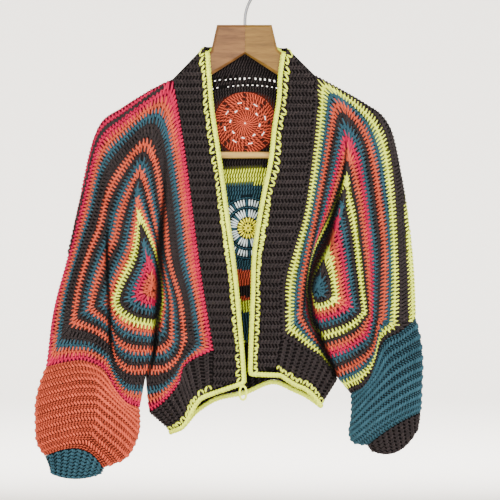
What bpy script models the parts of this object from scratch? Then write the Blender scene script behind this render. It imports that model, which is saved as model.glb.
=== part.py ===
"""Granny square cardigan hanging open on a wooden hanger.

Each half of the cardigan is one six-cornered granny motif, worked in rounds from
the underarm and folded into a front layer and a back layer.  Ribbed bands, a
back neck piece, three back panels, lower sleeves, cuffs and a corded edging are
added to them.

Sizes are millimetres until a mesh is made.  x runs to the right of someone who
faces the front, y runs from the front to the back, z runs up, and the origin is
the inside top of the hook.
"""
import bmesh
import bpy
import numpy as np

MILLIMETRE = 0.001

# ---------------------------------------------------------------- driving sizes
WALL = 2.2               # thickness of the crochet cloth
SEAM_GAP = 0.3           # gap between neighbouring pieces
LAYER_GAP = 0.4          # gap between a front layer and its back layer
SLEEVE_SHIFT = 0.85      # the same, where a sleeve's end turns sharply
SEAM_SHIFT = 0.6         # a piece's border is drawn this far off its neighbour's
EYE_START = -66          # direction of the body's side fold as it leaves the eye, degrees
EYE_RADIUS = 7.0         # first ring at the centre of each motif, in the underarm
EYE_DEPTH = 2.6          # depth of each layer over that ring
FOLD_RADIUS = 20.0       # how far in from a folded edge the cloth rounds over
SHOULDER_RADIUS = 13.0   # how far in from the shoulder fold the cloth rounds over
SHOULDER_DEPTH = 10.0    # least depth of a layer, where it lies on the wood
VALLEY_WIDTH = 12.0      # half width of the crease between body and sleeve
TROUGH_WIDTH = 11.0      # half width of the soft troughs
BAND_RIDGE = 12.2        # height of one ridge of the front bands
RIDGE_HEIGHT = 1.0
RIB_WIDTH = 10.5         # width of one rib of the hem bands and cuffs
ROPE_RADIUS = 3.2        # corded edging
ROPE_GAP = 0.5           # gap between it and the edge it is worked on
CORNER_REACH = 6.2       # how far out it turns round the foot of a front
EDGING_CENTRE = (0, -300)

WOOD_THICKNESS = 12.0
WOOD_CHAMFER = 4.0
WOOD_TOP = -80.0
BAR_RADIUS = 5.0
BAR_HEIGHT = -279.0
HOOK_WIRE = 2.4          # radius of the hook's wire
HOOK_BEND = 21.0         # radius of the hook to the middle of its wire

# Each row is one ray of a motif, from the underarm out to the border.
# Columns: side of the motif, place along that side (0 to 1), then x and z on an
# inner round, on an outer round and on the border, and the depth of the layer
# from the middle plane on the outer round and on the border.
LEFT_CENTRE = (-141, -482)
LEFT_ROUNDS = (0.0, 0.265, 0.676, 1.0)
LEFT_RAYS = (
    ("hem", 0.50, -139.6, -539, -145.5, -607, -145, -672, 0, 0),
    ("hem", 0.62, -135, -537, -129, -607, -125, -657, 14, 15),
    ("hem", 0.75, -132, -533, -112, -599, -101, -628, 15, 17),
    ("hem", 0.88, -130, -528, -99, -583, -89, -597, 15, 17),
    ("hem", 1.00, -129, -525, -92, -559, -48, -576, 15, 17),
    ("front", 0.00, -129, -525, -92, -559, -48, -576, 15, 17),
    ("front", 0.20, -125, -500, -99, -501, -61, -501, 14, 16),
    ("front", 0.40, -130, -450, -115, -443, -70, -441, 14, 15),
    ("front", 0.60, -147, -398, -122, -383, -78, -381, 13, 14),
    ("front", 0.80, -159, -372, -134, -302, -92, -271, 12, 13),
    ("front", 1.00, -163, -360, -147, -254, -110, -163, 11, 9.5),
    ("shoulder", 0.000, -163, -360, -147, -254, -110, -163, 11, 9.5),
    ("shoulder", 0.085, -163, -372, -160, -264, -146, -181, 12, 9.5),
    ("shoulder", 0.170, -163, -386, -182, -293, -184, -205, 14, 9.5),
    ("shoulder", 0.333, -165, -409, -208, -338, -226, -241, 17, 10),
    ("shoulder", 0.500, -170, -433, -221, -389, -253, -350, 19, 14),
    ("shoulder", 0.667, -180, -455, -238, -432, -270, -433, 22, 18),
    ("shoulder", 0.833, -190, -475, -252, -481, -291, -516, 25, 22),
    ("shoulder", 1.000, -199, -499, -261, -534, -303, -602, 27, 26),
    ("end", 0.00, -199, -499, -261, -534, -303, -602, 27, 26),
    ("end", 0.12, -198, -505, -240, -541, -268, -593, 28, 30),
    ("end", 0.24, -197, -510, -218, -551, -236, -593, 28, 32),
    ("end", 0.30, -195, -515, -204, -565, -215, -604, 26, 31),
    ("end", 0.36, -190, -520, -196, -588, -198, -632, 25, 29),
    ("end", 0.43, -172, -532, -177, -606, -181, -655, 20, 24),
    ("end", 0.50, -142.8, -539, -148.8, -607, -163, -664, 0, 0),
)
RIGHT_CENTRE = (110, -484)
RIGHT_ROUNDS = (0.0, 0.44, 0.794, 1.0)
RIGHT_RAYS = (
    ("hem", 0.50, 112, -550, 128, -590, 141, -622, 0, 0),
    ("hem", 0.66, 104, -541, 111, -566, 117, -594, 13, 15),
    ("hem", 0.83, 101, -529, 97, -549, 90, -576, 14, 17),
    ("hem", 1.00, 98, -510, 83, -527, 55, -557, 14, 17),
    ("front", 0.00, 98, -510, 83, -527, 55, -557, 14, 17),
    ("front", 0.20, 94, -480, 87, -479, 54, -477, 14, 16),
    ("front", 0.40, 104, -427, 97, -424, 68, -424, 14, 15),
    ("front", 0.60, 130, -372, 109, -365, 86, -366, 13, 14),
    ("front", 0.80, 147, -330, 126, -273, 99, -264, 12, 13),
    ("front", 1.00, 156, -308, 137, -196, 107, -158, 11, 9.5),
    ("shoulder", 0.000, 156, -308, 137, -196, 107, -158, 11, 9.5),
    ("shoulder", 0.085, 157, -325, 158, -212, 140, -176, 12, 9.5),
    ("shoulder", 0.170, 158, -343, 178, -237, 176, -196, 14, 9.5),
    ("shoulder", 0.333, 165, -378, 196, -293, 219, -232, 17, 10),
    ("shoulder", 0.500, 170, -414, 205, -351, 239, -311, 19, 14),
    ("shoulder", 0.667, 174, -450, 212, -410, 250, -383, 21, 18),
    ("shoulder", 0.833, 178, -485, 213, -469, 257, -455, 23, 22),
    ("shoulder", 1.000, 183, -520, 210, -530, 260, -528, 25, 26),
    ("end", 0.00, 183, -520, 210, -530, 260, -528, 25, 26),
    ("end", 0.13, 178, -525, 207, -534, 233, -549, 26, 30),
    ("end", 0.24, 173, -530, 202, -542, 207, -568, 27, 31),
    ("end", 0.31, 167, -535, 195, -572, 193, -608, 29, 33),
    ("end", 0.40, 150, -545, 173, -595, 180, -631, 24, 27),
    ("end", 0.50, 118.3, -557, 140.8, -612, 163, -642, 0, 0),
)

# The crease between body and sleeve, from the shoulder down to the underarm.
# Columns: x, z and how much of the layer's depth the crease takes.
LEFT_VALLEY = ((-123, -315, 0.0), (-126, -355, 0.30), (-130, -397, 0.55),
               (-136, -426, 0.70), (-140, -461, 0.80), (-141, -482, 0.80))
RIGHT_VALLEY = ((154, -255, 0.0), (149, -310, 0.35), (139, -346, 0.60),
                (129, -401, 0.75), (119, -437, 0.80), (110, -484, 0.80))

# Soft troughs pressed into the front layers.  Columns: x, z, depth.
LEFT_TROUGHS = (
    ((-211, -365, 0), (-207, -430, 2), (-205, -507, 6), (-203, -559, 8), (-203, -612, 7)),
    ((-235, -300, 0), (-246, -380, 3), (-262, -460, 3), (-276, -540, 0)),
    ((-104, -400, 0), (-96, -470, 3), (-84, -540, 3)),
)
RIGHT_TROUGHS = (
    ((200, -440, 0), (201, -501, 5), (202, -545, 8), (201, -590, 7)),
    ((219, -330, 0), (228, -410, 3), (234, -480, 0)),
    ((92, -330, 0), (84, -420, 3), (72, -500, 2)),
)

# Sections of the lower sleeves and cuffs, from the granny motif down.
# Columns: outer x, z, middle x, z, inner x, z, half depth.
LEFT_SLEEVE = (
    (-303, -602, -236, -593, -163, -664, 30),
    (-314, -632, -232, -622, -162, -683, 36),
    (-320, -661, -229, -649, -163, -702, 40),
    (-320, -690, -231, -677, -170, -723, 40),
    (-318, -718, -238, -703, -184, -743, 34),
    (-306, -739, -250, -726, -217, -757, 20),
)
LEFT_CUFF = (
    (-305.5, -740, -250, -727, -217.5, -758, 19),
    (-300, -753, -255, -748, -219, -762, 19),
    (-297, -765, -260, -772, -223, -767, 20),
)
RIGHT_SLEEVE = (
    (260, -528, 207, -568, 163, -642, 30),
    (268, -562, 214, -594, 164, -662, 36),
    (271, -596, 217, -624, 163, -684, 39),
    (270, -626, 218, -652, 160, -704, 39),
    (269, -654, 219, -676, 166, -718, 34),
    (268, -672, 226, -691, 187, -722, 20),
)
RIGHT_CUFF = (
    (268, -673, 226, -692, 187.5, -723, 19),
    (267, -684, 229, -709, 190, -726, 19),
    (265, -694, 233, -730, 194, -731, 20),
)

# The corded edging down the fronts, from the neck to the foot, and the lower
# edges of the hem bands, from the foot of the front out to the side.
# Columns: x, z.
LEFT_ROPE = ((-58, -113), (-55, -157), (-50, -213), (-41, -273), (-34, -322), (-26, -383),
             (-20, -424), (-14, -473), (-9, -527), (-5, -571), (-1, -626))
RIGHT_ROPE = ((60, -115), (54, -157), (52, -193), (45, -238), (40, -285), (30, -334),
              (21, -383), (15, -424), (12, -498), (10, -547), (8, -613))
LEFT_HEM_EDGE = ((-49, -637), (-70, -649), (-82, -668), (-94, -689), (-114, -699))
RIGHT_HEM_EDGE = ((47, -605), (75, -625), (95, -634), (107, -646), (117, -660))
BACK_HEM_EDGE = ((-114, -699), (-94, -690), (-78, -672), (-49, -652), (0, -640), (47, -624),
                 (75, -636), (95, -645), (117, -660))
BAND_COLUMNS = 3
FOOT_ROWS = 10           # rows of the front band beside the hem band
TURNED_ROWS = 4          # rows of the front band that turn over the shoulder

# The back between the two motifs.  Columns: name, colour, and the places along
# the motif's edge (0 at the hem, 1 at the neck) where it ends and starts.
BACK_PANELS = (
    ("back_flower_panel", "teal", 0.23, 0.78),
    ("back_lower_panel", "teal", 0.0, 0.23),
)
ROUND_PLACES = (0.78, 0.93)
YOKE_ARCH = 26.0         # rise of the seam under the neck piece
ROUND_CENTRE = (0.0, -229.5)
ROUND_EYE = 3.0
# Rounds of the lace motif: radius where each ends, and whether it is cut through
# between its posts.
LACE_ROUNDS = ((12.0, False), (20.5, False), (25.5, True), (29.5, False), (34.5, True), (47.0, False))
LACE_SECTORS = 32
NECK_MIDDLE = (0.0, -110.0)
NECK_STEPS = (0, 0.04, 0.1, 0.2, 0.35, 0.5, 0.65, 0.8, 0.9, 0.96, 1)

# Outline of the wooden arms: the neck block and the drop at the end that takes
# the bar.  Columns: x, z.
LEFT_WOOD_NECK = ((-43, -80), (-52, -120))
LEFT_WOOD_UNDER = ((-221, -262), (-219, -290), (-198, -290), (-198, -252), (-52, -157))
RIGHT_WOOD_NECK = ((41, -80), (50, -118))
RIGHT_WOOD_UNDER = ((215, -260), (213, -290), (192, -290), (192, -250), (52, -158))
WOOD_PEAK = -124.0       # height of the notch under the middle of the wood
WOOD_CLEARANCE = 2.5     # wood below the middle of the cloth that lies over it
WOOD_REACH = 0.3         # place along the shoulder fold where an arm ends

COLOURS = {
    "granny": (0.58, 0.13, 0.09),
    "coral": (0.76, 0.18, 0.09),
    "teal": (0.034, 0.122, 0.175),
    "charcoal": (0.048, 0.037, 0.037),
    "lemon": (0.87, 0.87, 0.22),
    "wood": (0.43, 0.25, 0.11),
    "pale_wood": (0.68, 0.51, 0.26),
    "chrome": (0.75, 0.75, 0.76),
}


# ------------------------------------------------------------------ curve maths
def curve(knots, values, at):
    """A smooth curve through values at knots (cubic, Catmull-Rom slopes)."""
    knots = np.asarray(knots, float)
    values = np.asarray(values, float)
    at = np.asarray(at, float)
    slopes = np.gradient(values, knots, axis=0)
    span = np.clip(np.searchsorted(knots, at, side="right") - 1, 0, len(knots) - 2)
    width = knots[span + 1] - knots[span]
    s = (at - knots[span]) / width
    shape = (len(at),) + (1,) * (values.ndim - 1)
    s, width = s.reshape(shape), width.reshape(shape)
    start, end = values[span], values[span + 1]
    return ((2 * s**3 - 3 * s**2 + 1) * start + (s**3 - 2 * s**2 + s) * width * slopes[span]
            + (3 * s**2 - 2 * s**3) * end + (s**3 - s**2) * width * slopes[span + 1])


def along(points, count=None, at=None):
    """Points at even steps, or at given fractions, of the length of a smooth line."""
    points = np.asarray(points, float)
    chord = np.linalg.norm(np.diff(points[:, :2], axis=0), axis=1)
    knots = np.concatenate([[0], np.cumsum(chord)]) / chord.sum()
    fractions = np.linspace(0, 1, count) if at is None else np.asarray(at, float)
    return curve(knots, points, fractions)


def nearest(points, line):
    """Distance from each point (x, z) to a line, and the line's other columns there."""
    start, step = line[:-1], np.diff(line, axis=0)
    offset = points[:, None, :] - start[None, :, :2]
    length = np.maximum((step[:, :2] ** 2).sum(1), 1e-9)
    s = np.clip((offset * step[None, :, :2]).sum(2) / length, 0, 1)
    gaps = np.linalg.norm(offset - s[..., None] * step[None, :, :2], axis=2)
    best = gaps.argmin(1)
    rows = np.arange(len(points))
    extra = start[best, 2:] + s[rows, best][:, None] * step[best, 2:]
    return gaps[rows, best], extra


def rounding(distance, radius):
    """A quarter circle: 0 on a folded edge, 1 from radius inwards."""
    return np.sqrt(np.clip(1 - (1 - np.clip(distance / radius, 0, 1)) ** 2, 0, 1))


def directions(path, closed=False):
    """Unit directions halfway between the steps at each point, and their mean's length."""
    steps = np.diff(np.vstack([path, path[:1]]) if closed else path, axis=0)
    steps /= np.linalg.norm(steps, axis=1)[:, None]
    if closed:
        mean = (steps + np.roll(steps, 1, axis=0)) / 2
    else:
        mean = (np.vstack([steps[:1], steps]) + np.vstack([steps, steps[-1:]])) / 2
    size = np.linalg.norm(mean, axis=1)[:, None]
    return mean / size, size


def grid_quads(rows, columns, closed=False):
    """Corner numbers of the quads of a grid of points, row by row."""
    row, column = np.meshgrid(np.arange(rows - 1), np.arange(columns if closed else columns - 1),
                              indexing="ij")
    following = (column + 1) % columns
    corners = (row * columns + column, row * columns + following,
               (row + 1) * columns + following, (row + 1) * columns + column)
    return np.stack(corners, -1).reshape(-1, 4)


# --------------------------------------------------------------- making objects
def material(colour):
    """One Principled material for each colour of yarn, wood or metal."""
    found = bpy.data.materials.get(colour)
    if found:
        return found
    made = bpy.data.materials.new(colour)
    made.use_nodes = True
    shader = made.node_tree.nodes["Principled BSDF"]
    shader.inputs["Base Color"].default_value = (*COLOURS[colour], 1)
    metal = colour == "chrome"
    shader.inputs["Metallic"].default_value = 1.0 if metal else 0.0
    shader.inputs["Roughness"].default_value = 0.2 if metal else 0.85
    made.diffuse_color = (*COLOURS[colour], 1)
    return made


def add_object(name, points, faces, colour, smooth=True):
    """A mesh object from points in millimetres."""
    mesh = bpy.data.meshes.new(name)
    faces = faces.tolist() if isinstance(faces, np.ndarray) else faces
    mesh.from_pydata((np.asarray(points) * MILLIMETRE).tolist(), [], faces)
    mesh.materials.append(material(colour))
    if smooth:
        mesh.shade_smooth()
    item = bpy.data.objects.new(name, mesh)
    bpy.context.scene.collection.objects.link(item)
    return item


def point_normals(points, quads):
    """Unit normals of a quad sheet, averaged at its points."""
    across = points[quads[:, 2]] - points[quads[:, 0]]
    over = points[quads[:, 3]] - points[quads[:, 1]]
    face = np.cross(across, over)
    total = np.zeros_like(points)
    for corner in range(4):
        np.add.at(total, quads[:, corner], face)
    return total / np.maximum(np.linalg.norm(total, axis=1), 1e-9)[:, None]


def cloth(name, points, quads, colour, raised=0.0, level=(), sewn=()):
    """A closed wall: the sheet moved half the wall each way, with walls at its open edges.

    The quads turn so that their normals point out of the garment.  raised adds
    height to the outer face alone, and the points in level keep level normals.
    sewn holds pairs of point numbers and the normals of the neighbour's border
    there, so that the two walls lie face to face along a seam.
    """
    normals = point_normals(points, quads)
    level = np.asarray(level, int)
    if len(level):
        normals[level, 1] = 0
        normals[level] /= np.linalg.norm(normals[level], axis=1)[:, None]
    for numbers, borrowed in sewn:
        normals[numbers] = borrowed
    lift = WALL / 2 + np.broadcast_to(np.asarray(raised, float), len(points))
    outer = points + normals * lift[:, None]
    inner = points - normals * WALL / 2
    count = len(points)
    edges = np.concatenate([quads[:, [k, (k + 1) % 4]] for k in range(4)])
    edges = edges[edges[:, 0] != edges[:, 1]]
    keys = edges[:, 0] * count + edges[:, 1]
    twins = edges[:, 1] * count + edges[:, 0]
    rim = edges[~np.isin(keys, twins)]
    walls = np.stack([rim[:, 1], rim[:, 0], rim[:, 0] + count, rim[:, 1] + count], 1)
    faces = [list(dict.fromkeys(face)) for face in
             np.concatenate([quads, quads[:, ::-1] + count, walls]).tolist()]
    add_object(name, np.concatenate([outer, inner]), faces, colour)
    return normals


def carried_along(run, start):
    """Unit vectors square to each step of a path, carried along it without twisting."""
    sides = [start]
    for step in run:
        side = sides[-1] - step * (sides[-1] @ step)
        sides.append(side / np.linalg.norm(side))
    return np.array(sides[1:])


def tube(name, path, radius, colour, sides=6, closed=False):
    """A round cord or wire along a path, with flat ends or joined into a ring."""
    path = np.asarray(path, float)
    run, _ = directions(path, closed)
    side = carried_along(run, np.array([0.1, 1.0, 0.1]))
    if closed:
        side = carried_along(np.vstack([run, run[:1]]), side[0])
        last = side[-1]
        side = side[:-1]
        twist = np.arctan2(last @ np.cross(run[0], side[0]), last @ side[0])
        angle = -twist * np.arange(len(path)) / len(path)
        other = np.cross(run, side)
        side = np.cos(angle)[:, None] * side + np.sin(angle)[:, None] * other
    other = np.cross(run, side)
    turn = np.arange(sides) * 2 * np.pi / sides
    ring = np.cos(turn)[None, :, None] * side[:, None] + np.sin(turn)[None, :, None] * other[:, None]
    points = (path[:, None] + radius * ring).reshape(-1, 3)
    count = len(path)
    quads = grid_quads(count + 1 if closed else count, sides, closed=True) % len(points)
    item = add_object(name, points, quads, colour)
    shape = bmesh.new()
    shape.from_mesh(item.data)
    if not closed:
        bmesh.ops.holes_fill(shape, edges=shape.edges, sides=sides)
    bmesh.ops.recalc_face_normals(shape, faces=shape.faces)
    shape.to_mesh(item.data)
    shape.free()


# ------------------------------------------------------------ the granny motifs
class Half:
    """One motif: its rays, its creases and which way it lies."""

    def __init__(self, side, centre, rounds, rays, valley, troughs):
        self.side = side
        self.centre = np.array(centre, float)
        self.rounds = rounds
        self.rays = rays
        self.valley = np.array(valley, float)
        self.troughs = [along(trough, 24) for trough in troughs]
        self.mirror = side == "right"
        self.borders = {}

    def rows(self, name):
        """Places along one side and the numbers of its rays."""
        chosen = [row for row in self.rays if row[0] == name]
        return (np.array([row[1] for row in chosen]),
                np.array([row[2:] for row in chosen], float))

    def flat(self, name, places, rounds):
        """x, z and depth on a grid of rays and rounds of one side of the motif."""
        knots, numbers = self.rows(name)
        numbers = curve(knots, numbers, places)
        start = self.eye(name, places)
        zero = np.zeros(len(places))
        levels = np.stack([
            np.column_stack([start, zero + 14]),
            np.column_stack([numbers[:, 0:2], zero + 14]),
            np.column_stack([numbers[:, 2:4], numbers[:, 6]]),
            np.column_stack([numbers[:, 4:6], numbers[:, 7]])])
        return curve(self.rounds, levels, rounds)

    def eye(self, name, places):
        """Points round the open eye: the motif's rays leave it at even turns."""
        first = {"hem": 0.0, "front": 0.5, "shoulder": 1.5, "end": 2.5}[name]
        shift = 0.5 if name == "hem" else 0.0
        turn = np.radians(EYE_START + (180 - 2 * EYE_START) * (first + places - shift) / 3)
        across = np.cos(turn) * (-1 if self.mirror else 1)
        return self.centre + EYE_RADIUS * np.column_stack([across, np.sin(turn)])

    def edge_line(self, name, place, count=16):
        """The x, z line of one ray, from the eye to the border."""
        return self.flat(name, np.array([place]), np.linspace(0, 1, count))[:, 0, :2]

    def outline(self):
        """The x, z line of the shoulder fold, from the neck to the sleeve end."""
        return self.flat("shoulder", np.linspace(0, 1, 40), np.array([1.0]))[0, :, :2]

    def layer(self, name, places, rounds, front=True):
        """Mid points of the front or back layer on a grid of rounds and rays."""
        grid = self.flat(name, places, rounds)
        shape = grid.shape[:2]
        spot, depth = grid[..., :2].reshape(-1, 2), grid[..., 2].reshape(-1)
        near_shoulder, _ = nearest(spot, self.outline())
        fold = self.edge_line("hem", 0.5) if name in ("hem", "front") else self.edge_line("end", 0.5)
        if name == "shoulder":
            fold = fold[:2]
        near_fold, _ = nearest(spot, fold)
        near_valley, taken = nearest(spot, self.valley)
        crease = 1 - taken[:, 0] * np.exp(-(near_valley / VALLEY_WIDTH) ** 2) * (1 if front else 0.4)
        full = np.maximum(depth, 14 if name == "end" else SHOULDER_DEPTH)
        pressed = rounding(near_fold, FOLD_RADIUS) * crease
        turned = rounding(near_shoulder, SHOULDER_RADIUS + full - SHOULDER_DEPTH)
        deep = full * turned * pressed
        if front:
            for trough in self.troughs:
                gap, press = nearest(spot, trough)
                deep -= press[:, 0] * np.exp(-(gap / TROUGH_WIDTH) ** 2) * pressed
        deep = np.maximum(deep, LAYER_GAP / 2)
        y = -deep if front else deep
        return np.column_stack([spot[:, 0], y, spot[:, 1]]).reshape(*shape, 3)


HALVES = (
    Half("left", LEFT_CENTRE, LEFT_ROUNDS, LEFT_RAYS, LEFT_VALLEY, LEFT_TROUGHS),
    Half("right", RIGHT_CENTRE, RIGHT_ROUNDS, RIGHT_RAYS, RIGHT_VALLEY, RIGHT_TROUGHS),
)
SHOULDER_STEPS = (0, 0.05, 0.1, 0.16, 0.23, 0.3, 0.38, 0.48, 0.58, 0.68, 0.78, 0.89, 1.0)
FRONT_STEPS = {"hem": (0.5, 0.52, 0.55, 0.62, 0.72, 0.86, 1.0),
               "front": (0, 0.1, 0.2, 0.3, 0.4, 0.5, 0.6, 0.7, 0.8, 0.88, 0.94, 0.965, 0.98, 0.992, 1.0),
               "shoulder": SHOULDER_STEPS,
               "end": (0, 0.03, 0.08, 0.16, 0.24, 0.28, 0.32, 0.36, 0.41, 0.46, 0.485, 0.5)}
FRONT_ROUNDS = np.array([0, 0.1, 0.22, 0.36, 0.52, 0.68, 0.8, 0.89, 0.94, 0.975, 0.992, 1.0])
BACK_STEPS = {"hem": (0.5, 0.52, 0.56, 0.65, 0.8, 1.0),
              "front": (0, 0.115, 0.23, 0.3675, 0.505, 0.6425, 0.78, 0.855, 0.93, 0.955, 0.975,
                        0.987, 0.995, 1.0),
              "shoulder": SHOULDER_STEPS,
              "end": (0, 0.04, 0.1, 0.2, 0.3, 0.38, 0.45, 0.48, 0.5)}
BACK_ROUNDS = np.array([0, 0.1, 0.25, 0.42, 0.6, 0.76, 0.88, 0.94, 0.975, 0.992, 1.0])


def motif_grid(half, steps, rounds, front):
    """One layer of a motif, its four runs of rays joined side by side."""
    runs = [half.layer(name, np.asarray(steps[name], float), rounds, front) for name in steps]
    joined = [runs[0]] + [run[:, 1:] for run in runs[1:]]
    return np.concatenate(joined, axis=1)


def motif_layer(half, front):
    """A front or back layer of one granny motif as a closed wall."""
    steps, rounds = (FRONT_STEPS, FRONT_ROUNDS) if front else (BACK_STEPS, BACK_ROUNDS)
    grid = motif_grid(half, steps, rounds, front)
    rows, columns = grid.shape[:2]
    quads = grid_quads(rows, columns)
    if half.mirror == front:
        quads = quads[:, ::-1]
    number = np.arange(rows * columns).reshape(rows, columns)
    first = len(steps["hem"]) + len(steps["front"]) - 2
    last = first + len(steps["shoulder"]) - 1
    level = np.concatenate([number[:, 0], number[:, -1], number[-1, first:last + 1]])
    points = np.vstack([grid.reshape(-1, 3), eye_middle(half, front)])
    fan = np.column_stack([number[0, 1:], number[0, :-1], np.full((columns - 1, 2), len(points) - 1)])
    if half.mirror == front:
        fan = fan[:, [1, 0, 2, 3]]
    name = "granny_%s_%s" % ("front" if front else "back", half.side)
    normals = cloth(name, points, np.concatenate([quads, fan]), "granny", level=level)
    ends = np.cumsum([0] + [len(steps[run]) - 1 for run in steps])
    for run, start, end in zip(steps, ends[:-1], ends[1:]):
        border = number[-1, start:end + 1]
        half.borders[run, front] = np.hstack([points[border], normals[border]])


def eye_middle(half, front):
    """The point where a layer closes over the centre of the motif."""
    depth = -EYE_DEPTH if front else EYE_DEPTH
    return [(half.centre[0], depth, half.centre[1])]


# --------------------------------------------------------- bands, neck and back
def sheet_between(upper, lower, rows):
    """Points on straight lines from one border to another."""
    share = np.linspace(0, 1, rows)[:, None, None]
    return upper[None] * (1 - share) + lower[None] * share


def with_depth(line, depth):
    """x, y, z points of an x, z line at a depth."""
    return np.column_stack([line[:, 0], np.broadcast_to(depth, len(line)), line[:, 1]])


def neck_tip(half):
    """Top corner of the front band, where it turns over beside the wood."""
    top = RIGHT_ROPE[0] if half.mirror else LEFT_ROPE[0]
    return top + np.array([(1 if half.mirror else -1) * (ROPE_RADIUS + SEAM_GAP), 0])


def neck_fold(half):
    """The fold over the shoulder, from the motif's neck corner to the band's tip."""
    return np.array([half.outline()[0], neck_tip(half)])


def motif_border(half, name, front, places):
    """A motif's border at some places, on the straight runs between its own points.

    Each row holds a point and the border's normal there.
    """
    steps = np.asarray((FRONT_STEPS if front else BACK_STEPS)[name], float)
    return between(steps, half.borders[name, front], places)


def between(knots, rows, at):
    """Rows read off straight runs between the rows at the knots."""
    return np.column_stack([np.interp(at, knots, column) for column in rows.T])


def parted(steps, lengths, pitch):
    """Places that part each step evenly, about one pitch long, and keep its ends."""
    counts = np.maximum(np.round(np.asarray(lengths) / pitch).astype(int), 1)
    parts = [np.linspace(a, b, n, endpoint=False) for a, b, n in zip(steps[:-1], steps[1:], counts)]
    return np.concatenate(parts + [steps[-1:]])


def moved_off(line, normals, centre, distance):
    """A border moved sideways within the cloth, away from a centre, with mitred corners."""
    run, size = directions(line)
    side = np.cross(run, normals)
    side /= np.linalg.norm(side, axis=1)[:, None]
    side *= np.sign(((line[:, ::2] - centre) * side[:, ::2]).sum(1))[:, None]
    return line + side * distance / size


def band_border(half, front, places):
    """Motif edge that a band or panel is sewn to, moved off it by the seam gap."""
    edge = motif_border(half, "front", front, places)
    edge[:, 0] += (-1 if half.mirror else 1) * SEAM_SHIFT
    return edge


def turned_over(half, spot, depth):
    """Depth of the cloth at x, z places, rounded over the shoulder fold."""
    fold = np.vstack([neck_tip(half), half.outline()])
    gap, _ = nearest(spot, fold)
    full = np.maximum(depth, SHOULDER_DEPTH)
    return np.maximum(full * rounding(gap, SHOULDER_RADIUS + full - SHOULDER_DEPTH), LAYER_GAP / 2)


def border_depth(half, places):
    """Depth of the cloth along the motif's edge, before it turns over the shoulder."""
    return half.flat("front", np.asarray(places, float), np.array([1.0]))[0, :, 2]


def front_band(half):
    """The ribbed band of one front, from the shoulder fold down to the hem."""
    steps = np.asarray(FRONT_STEPS["front"])[::-1]
    lengths = np.linalg.norm(np.diff(band_border(half, True, steps)[:, 0:3], axis=0), axis=1)
    places = parted(steps, lengths, BAND_RIDGE / 2)
    inner = np.column_stack([band_border(half, True, places), border_depth(half, places)])
    tail = np.repeat(inner[-1:], FOOT_ROWS, axis=0)
    foot = LEFT_HEM_EDGE[0] if half.side == "left" else RIGHT_HEM_EDGE[0]
    share = np.linspace(0, 1, FOOT_ROWS + 1)[1:, None]
    tail[:, 0:3:2] += (np.array(foot) - tail[0, 0:3:2]) * share
    inner = np.vstack([inner, tail])
    rows = len(inner)
    step = np.linalg.norm(np.diff(inner[:, 0:3:2], axis=0), axis=1)
    down = np.concatenate([[0], np.cumsum(step)]) / step.sum()
    side = 1 if half.mirror else -1
    outer = along(LEFT_ROPE if half.side == "left" else RIGHT_ROPE, at=down)
    outer[:, 0] += side * (ROPE_RADIUS + SEAM_GAP)
    grid = sheet_between(inner[:, 0:3], with_depth(outer, 0), BAND_COLUMNS)
    for column in grid[1:]:
        column[:, 1] = -turned_over(half, column[:, ::2], inner[:, 6])
    grid = grid.transpose(1, 0, 2)
    quads = grid_quads(rows, BAND_COLUMNS)
    if half.mirror:
        quads = quads[:, ::-1]
    ridge = np.repeat(np.arange(rows) % 2, BAND_COLUMNS) * RIDGE_HEIGHT
    ridge[:BAND_COLUMNS * TURNED_ROWS] = 0
    cloth("front_band_" + half.side, grid.reshape(-1, 3), quads, "charcoal", raised=ridge,
          level=np.arange(BAND_COLUMNS), sewn=[(np.arange(rows) * BAND_COLUMNS, inner[:, 3:6])])
    return grid[:, -1]


def hem_band(name, upper, lower, flip):
    """A ribbed band along the hem, between the motif and its lower edge, which it gives."""
    count = len(upper)
    rows = 3
    lower = np.column_stack([lower[:, 0], upper[:, 1], lower[:, 1]])
    grid = sheet_between(upper[:, 0:3], lower, rows)
    quads = grid_quads(rows, count)
    if flip:
        quads = quads[:, ::-1]
    rib = np.tile(np.arange(count) % 2, rows) * RIDGE_HEIGHT
    number = np.arange(rows * count).reshape(rows, count)
    ends = number[:, [0, -1]] if "back" in name else number[:, -1:]
    cloth(name, grid.reshape(-1, 3), quads, "charcoal", raised=rib, level=ends.ravel(),
          sewn=[(number[0], upper[:, 3:6])])
    return grid[-1]


def hem_border(half, front):
    """Hem edge of a motif layer, from the front corner to the side fold, moved down."""
    steps = np.asarray((FRONT_STEPS if front else BACK_STEPS)["hem"])[::-1]
    edge = motif_border(half, "hem", front, steps)
    lengths = np.linalg.norm(np.diff(edge[:, 0:3], axis=0), axis=1)
    edge = motif_border(half, "hem", front, parted(steps, lengths, RIB_WIDTH / 2))
    edge[:, 0:3] = moved_off(edge[:, 0:3], edge[:, 3:6], half.centre, SLEEVE_SHIFT)
    return edge


def share_of_length(line):
    """How far along a line each of its points lies, from 0 to 1."""
    step = np.linalg.norm(np.diff(line, axis=0), axis=1)
    return np.concatenate([[0], np.cumsum(step)]) / step.sum()


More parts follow.
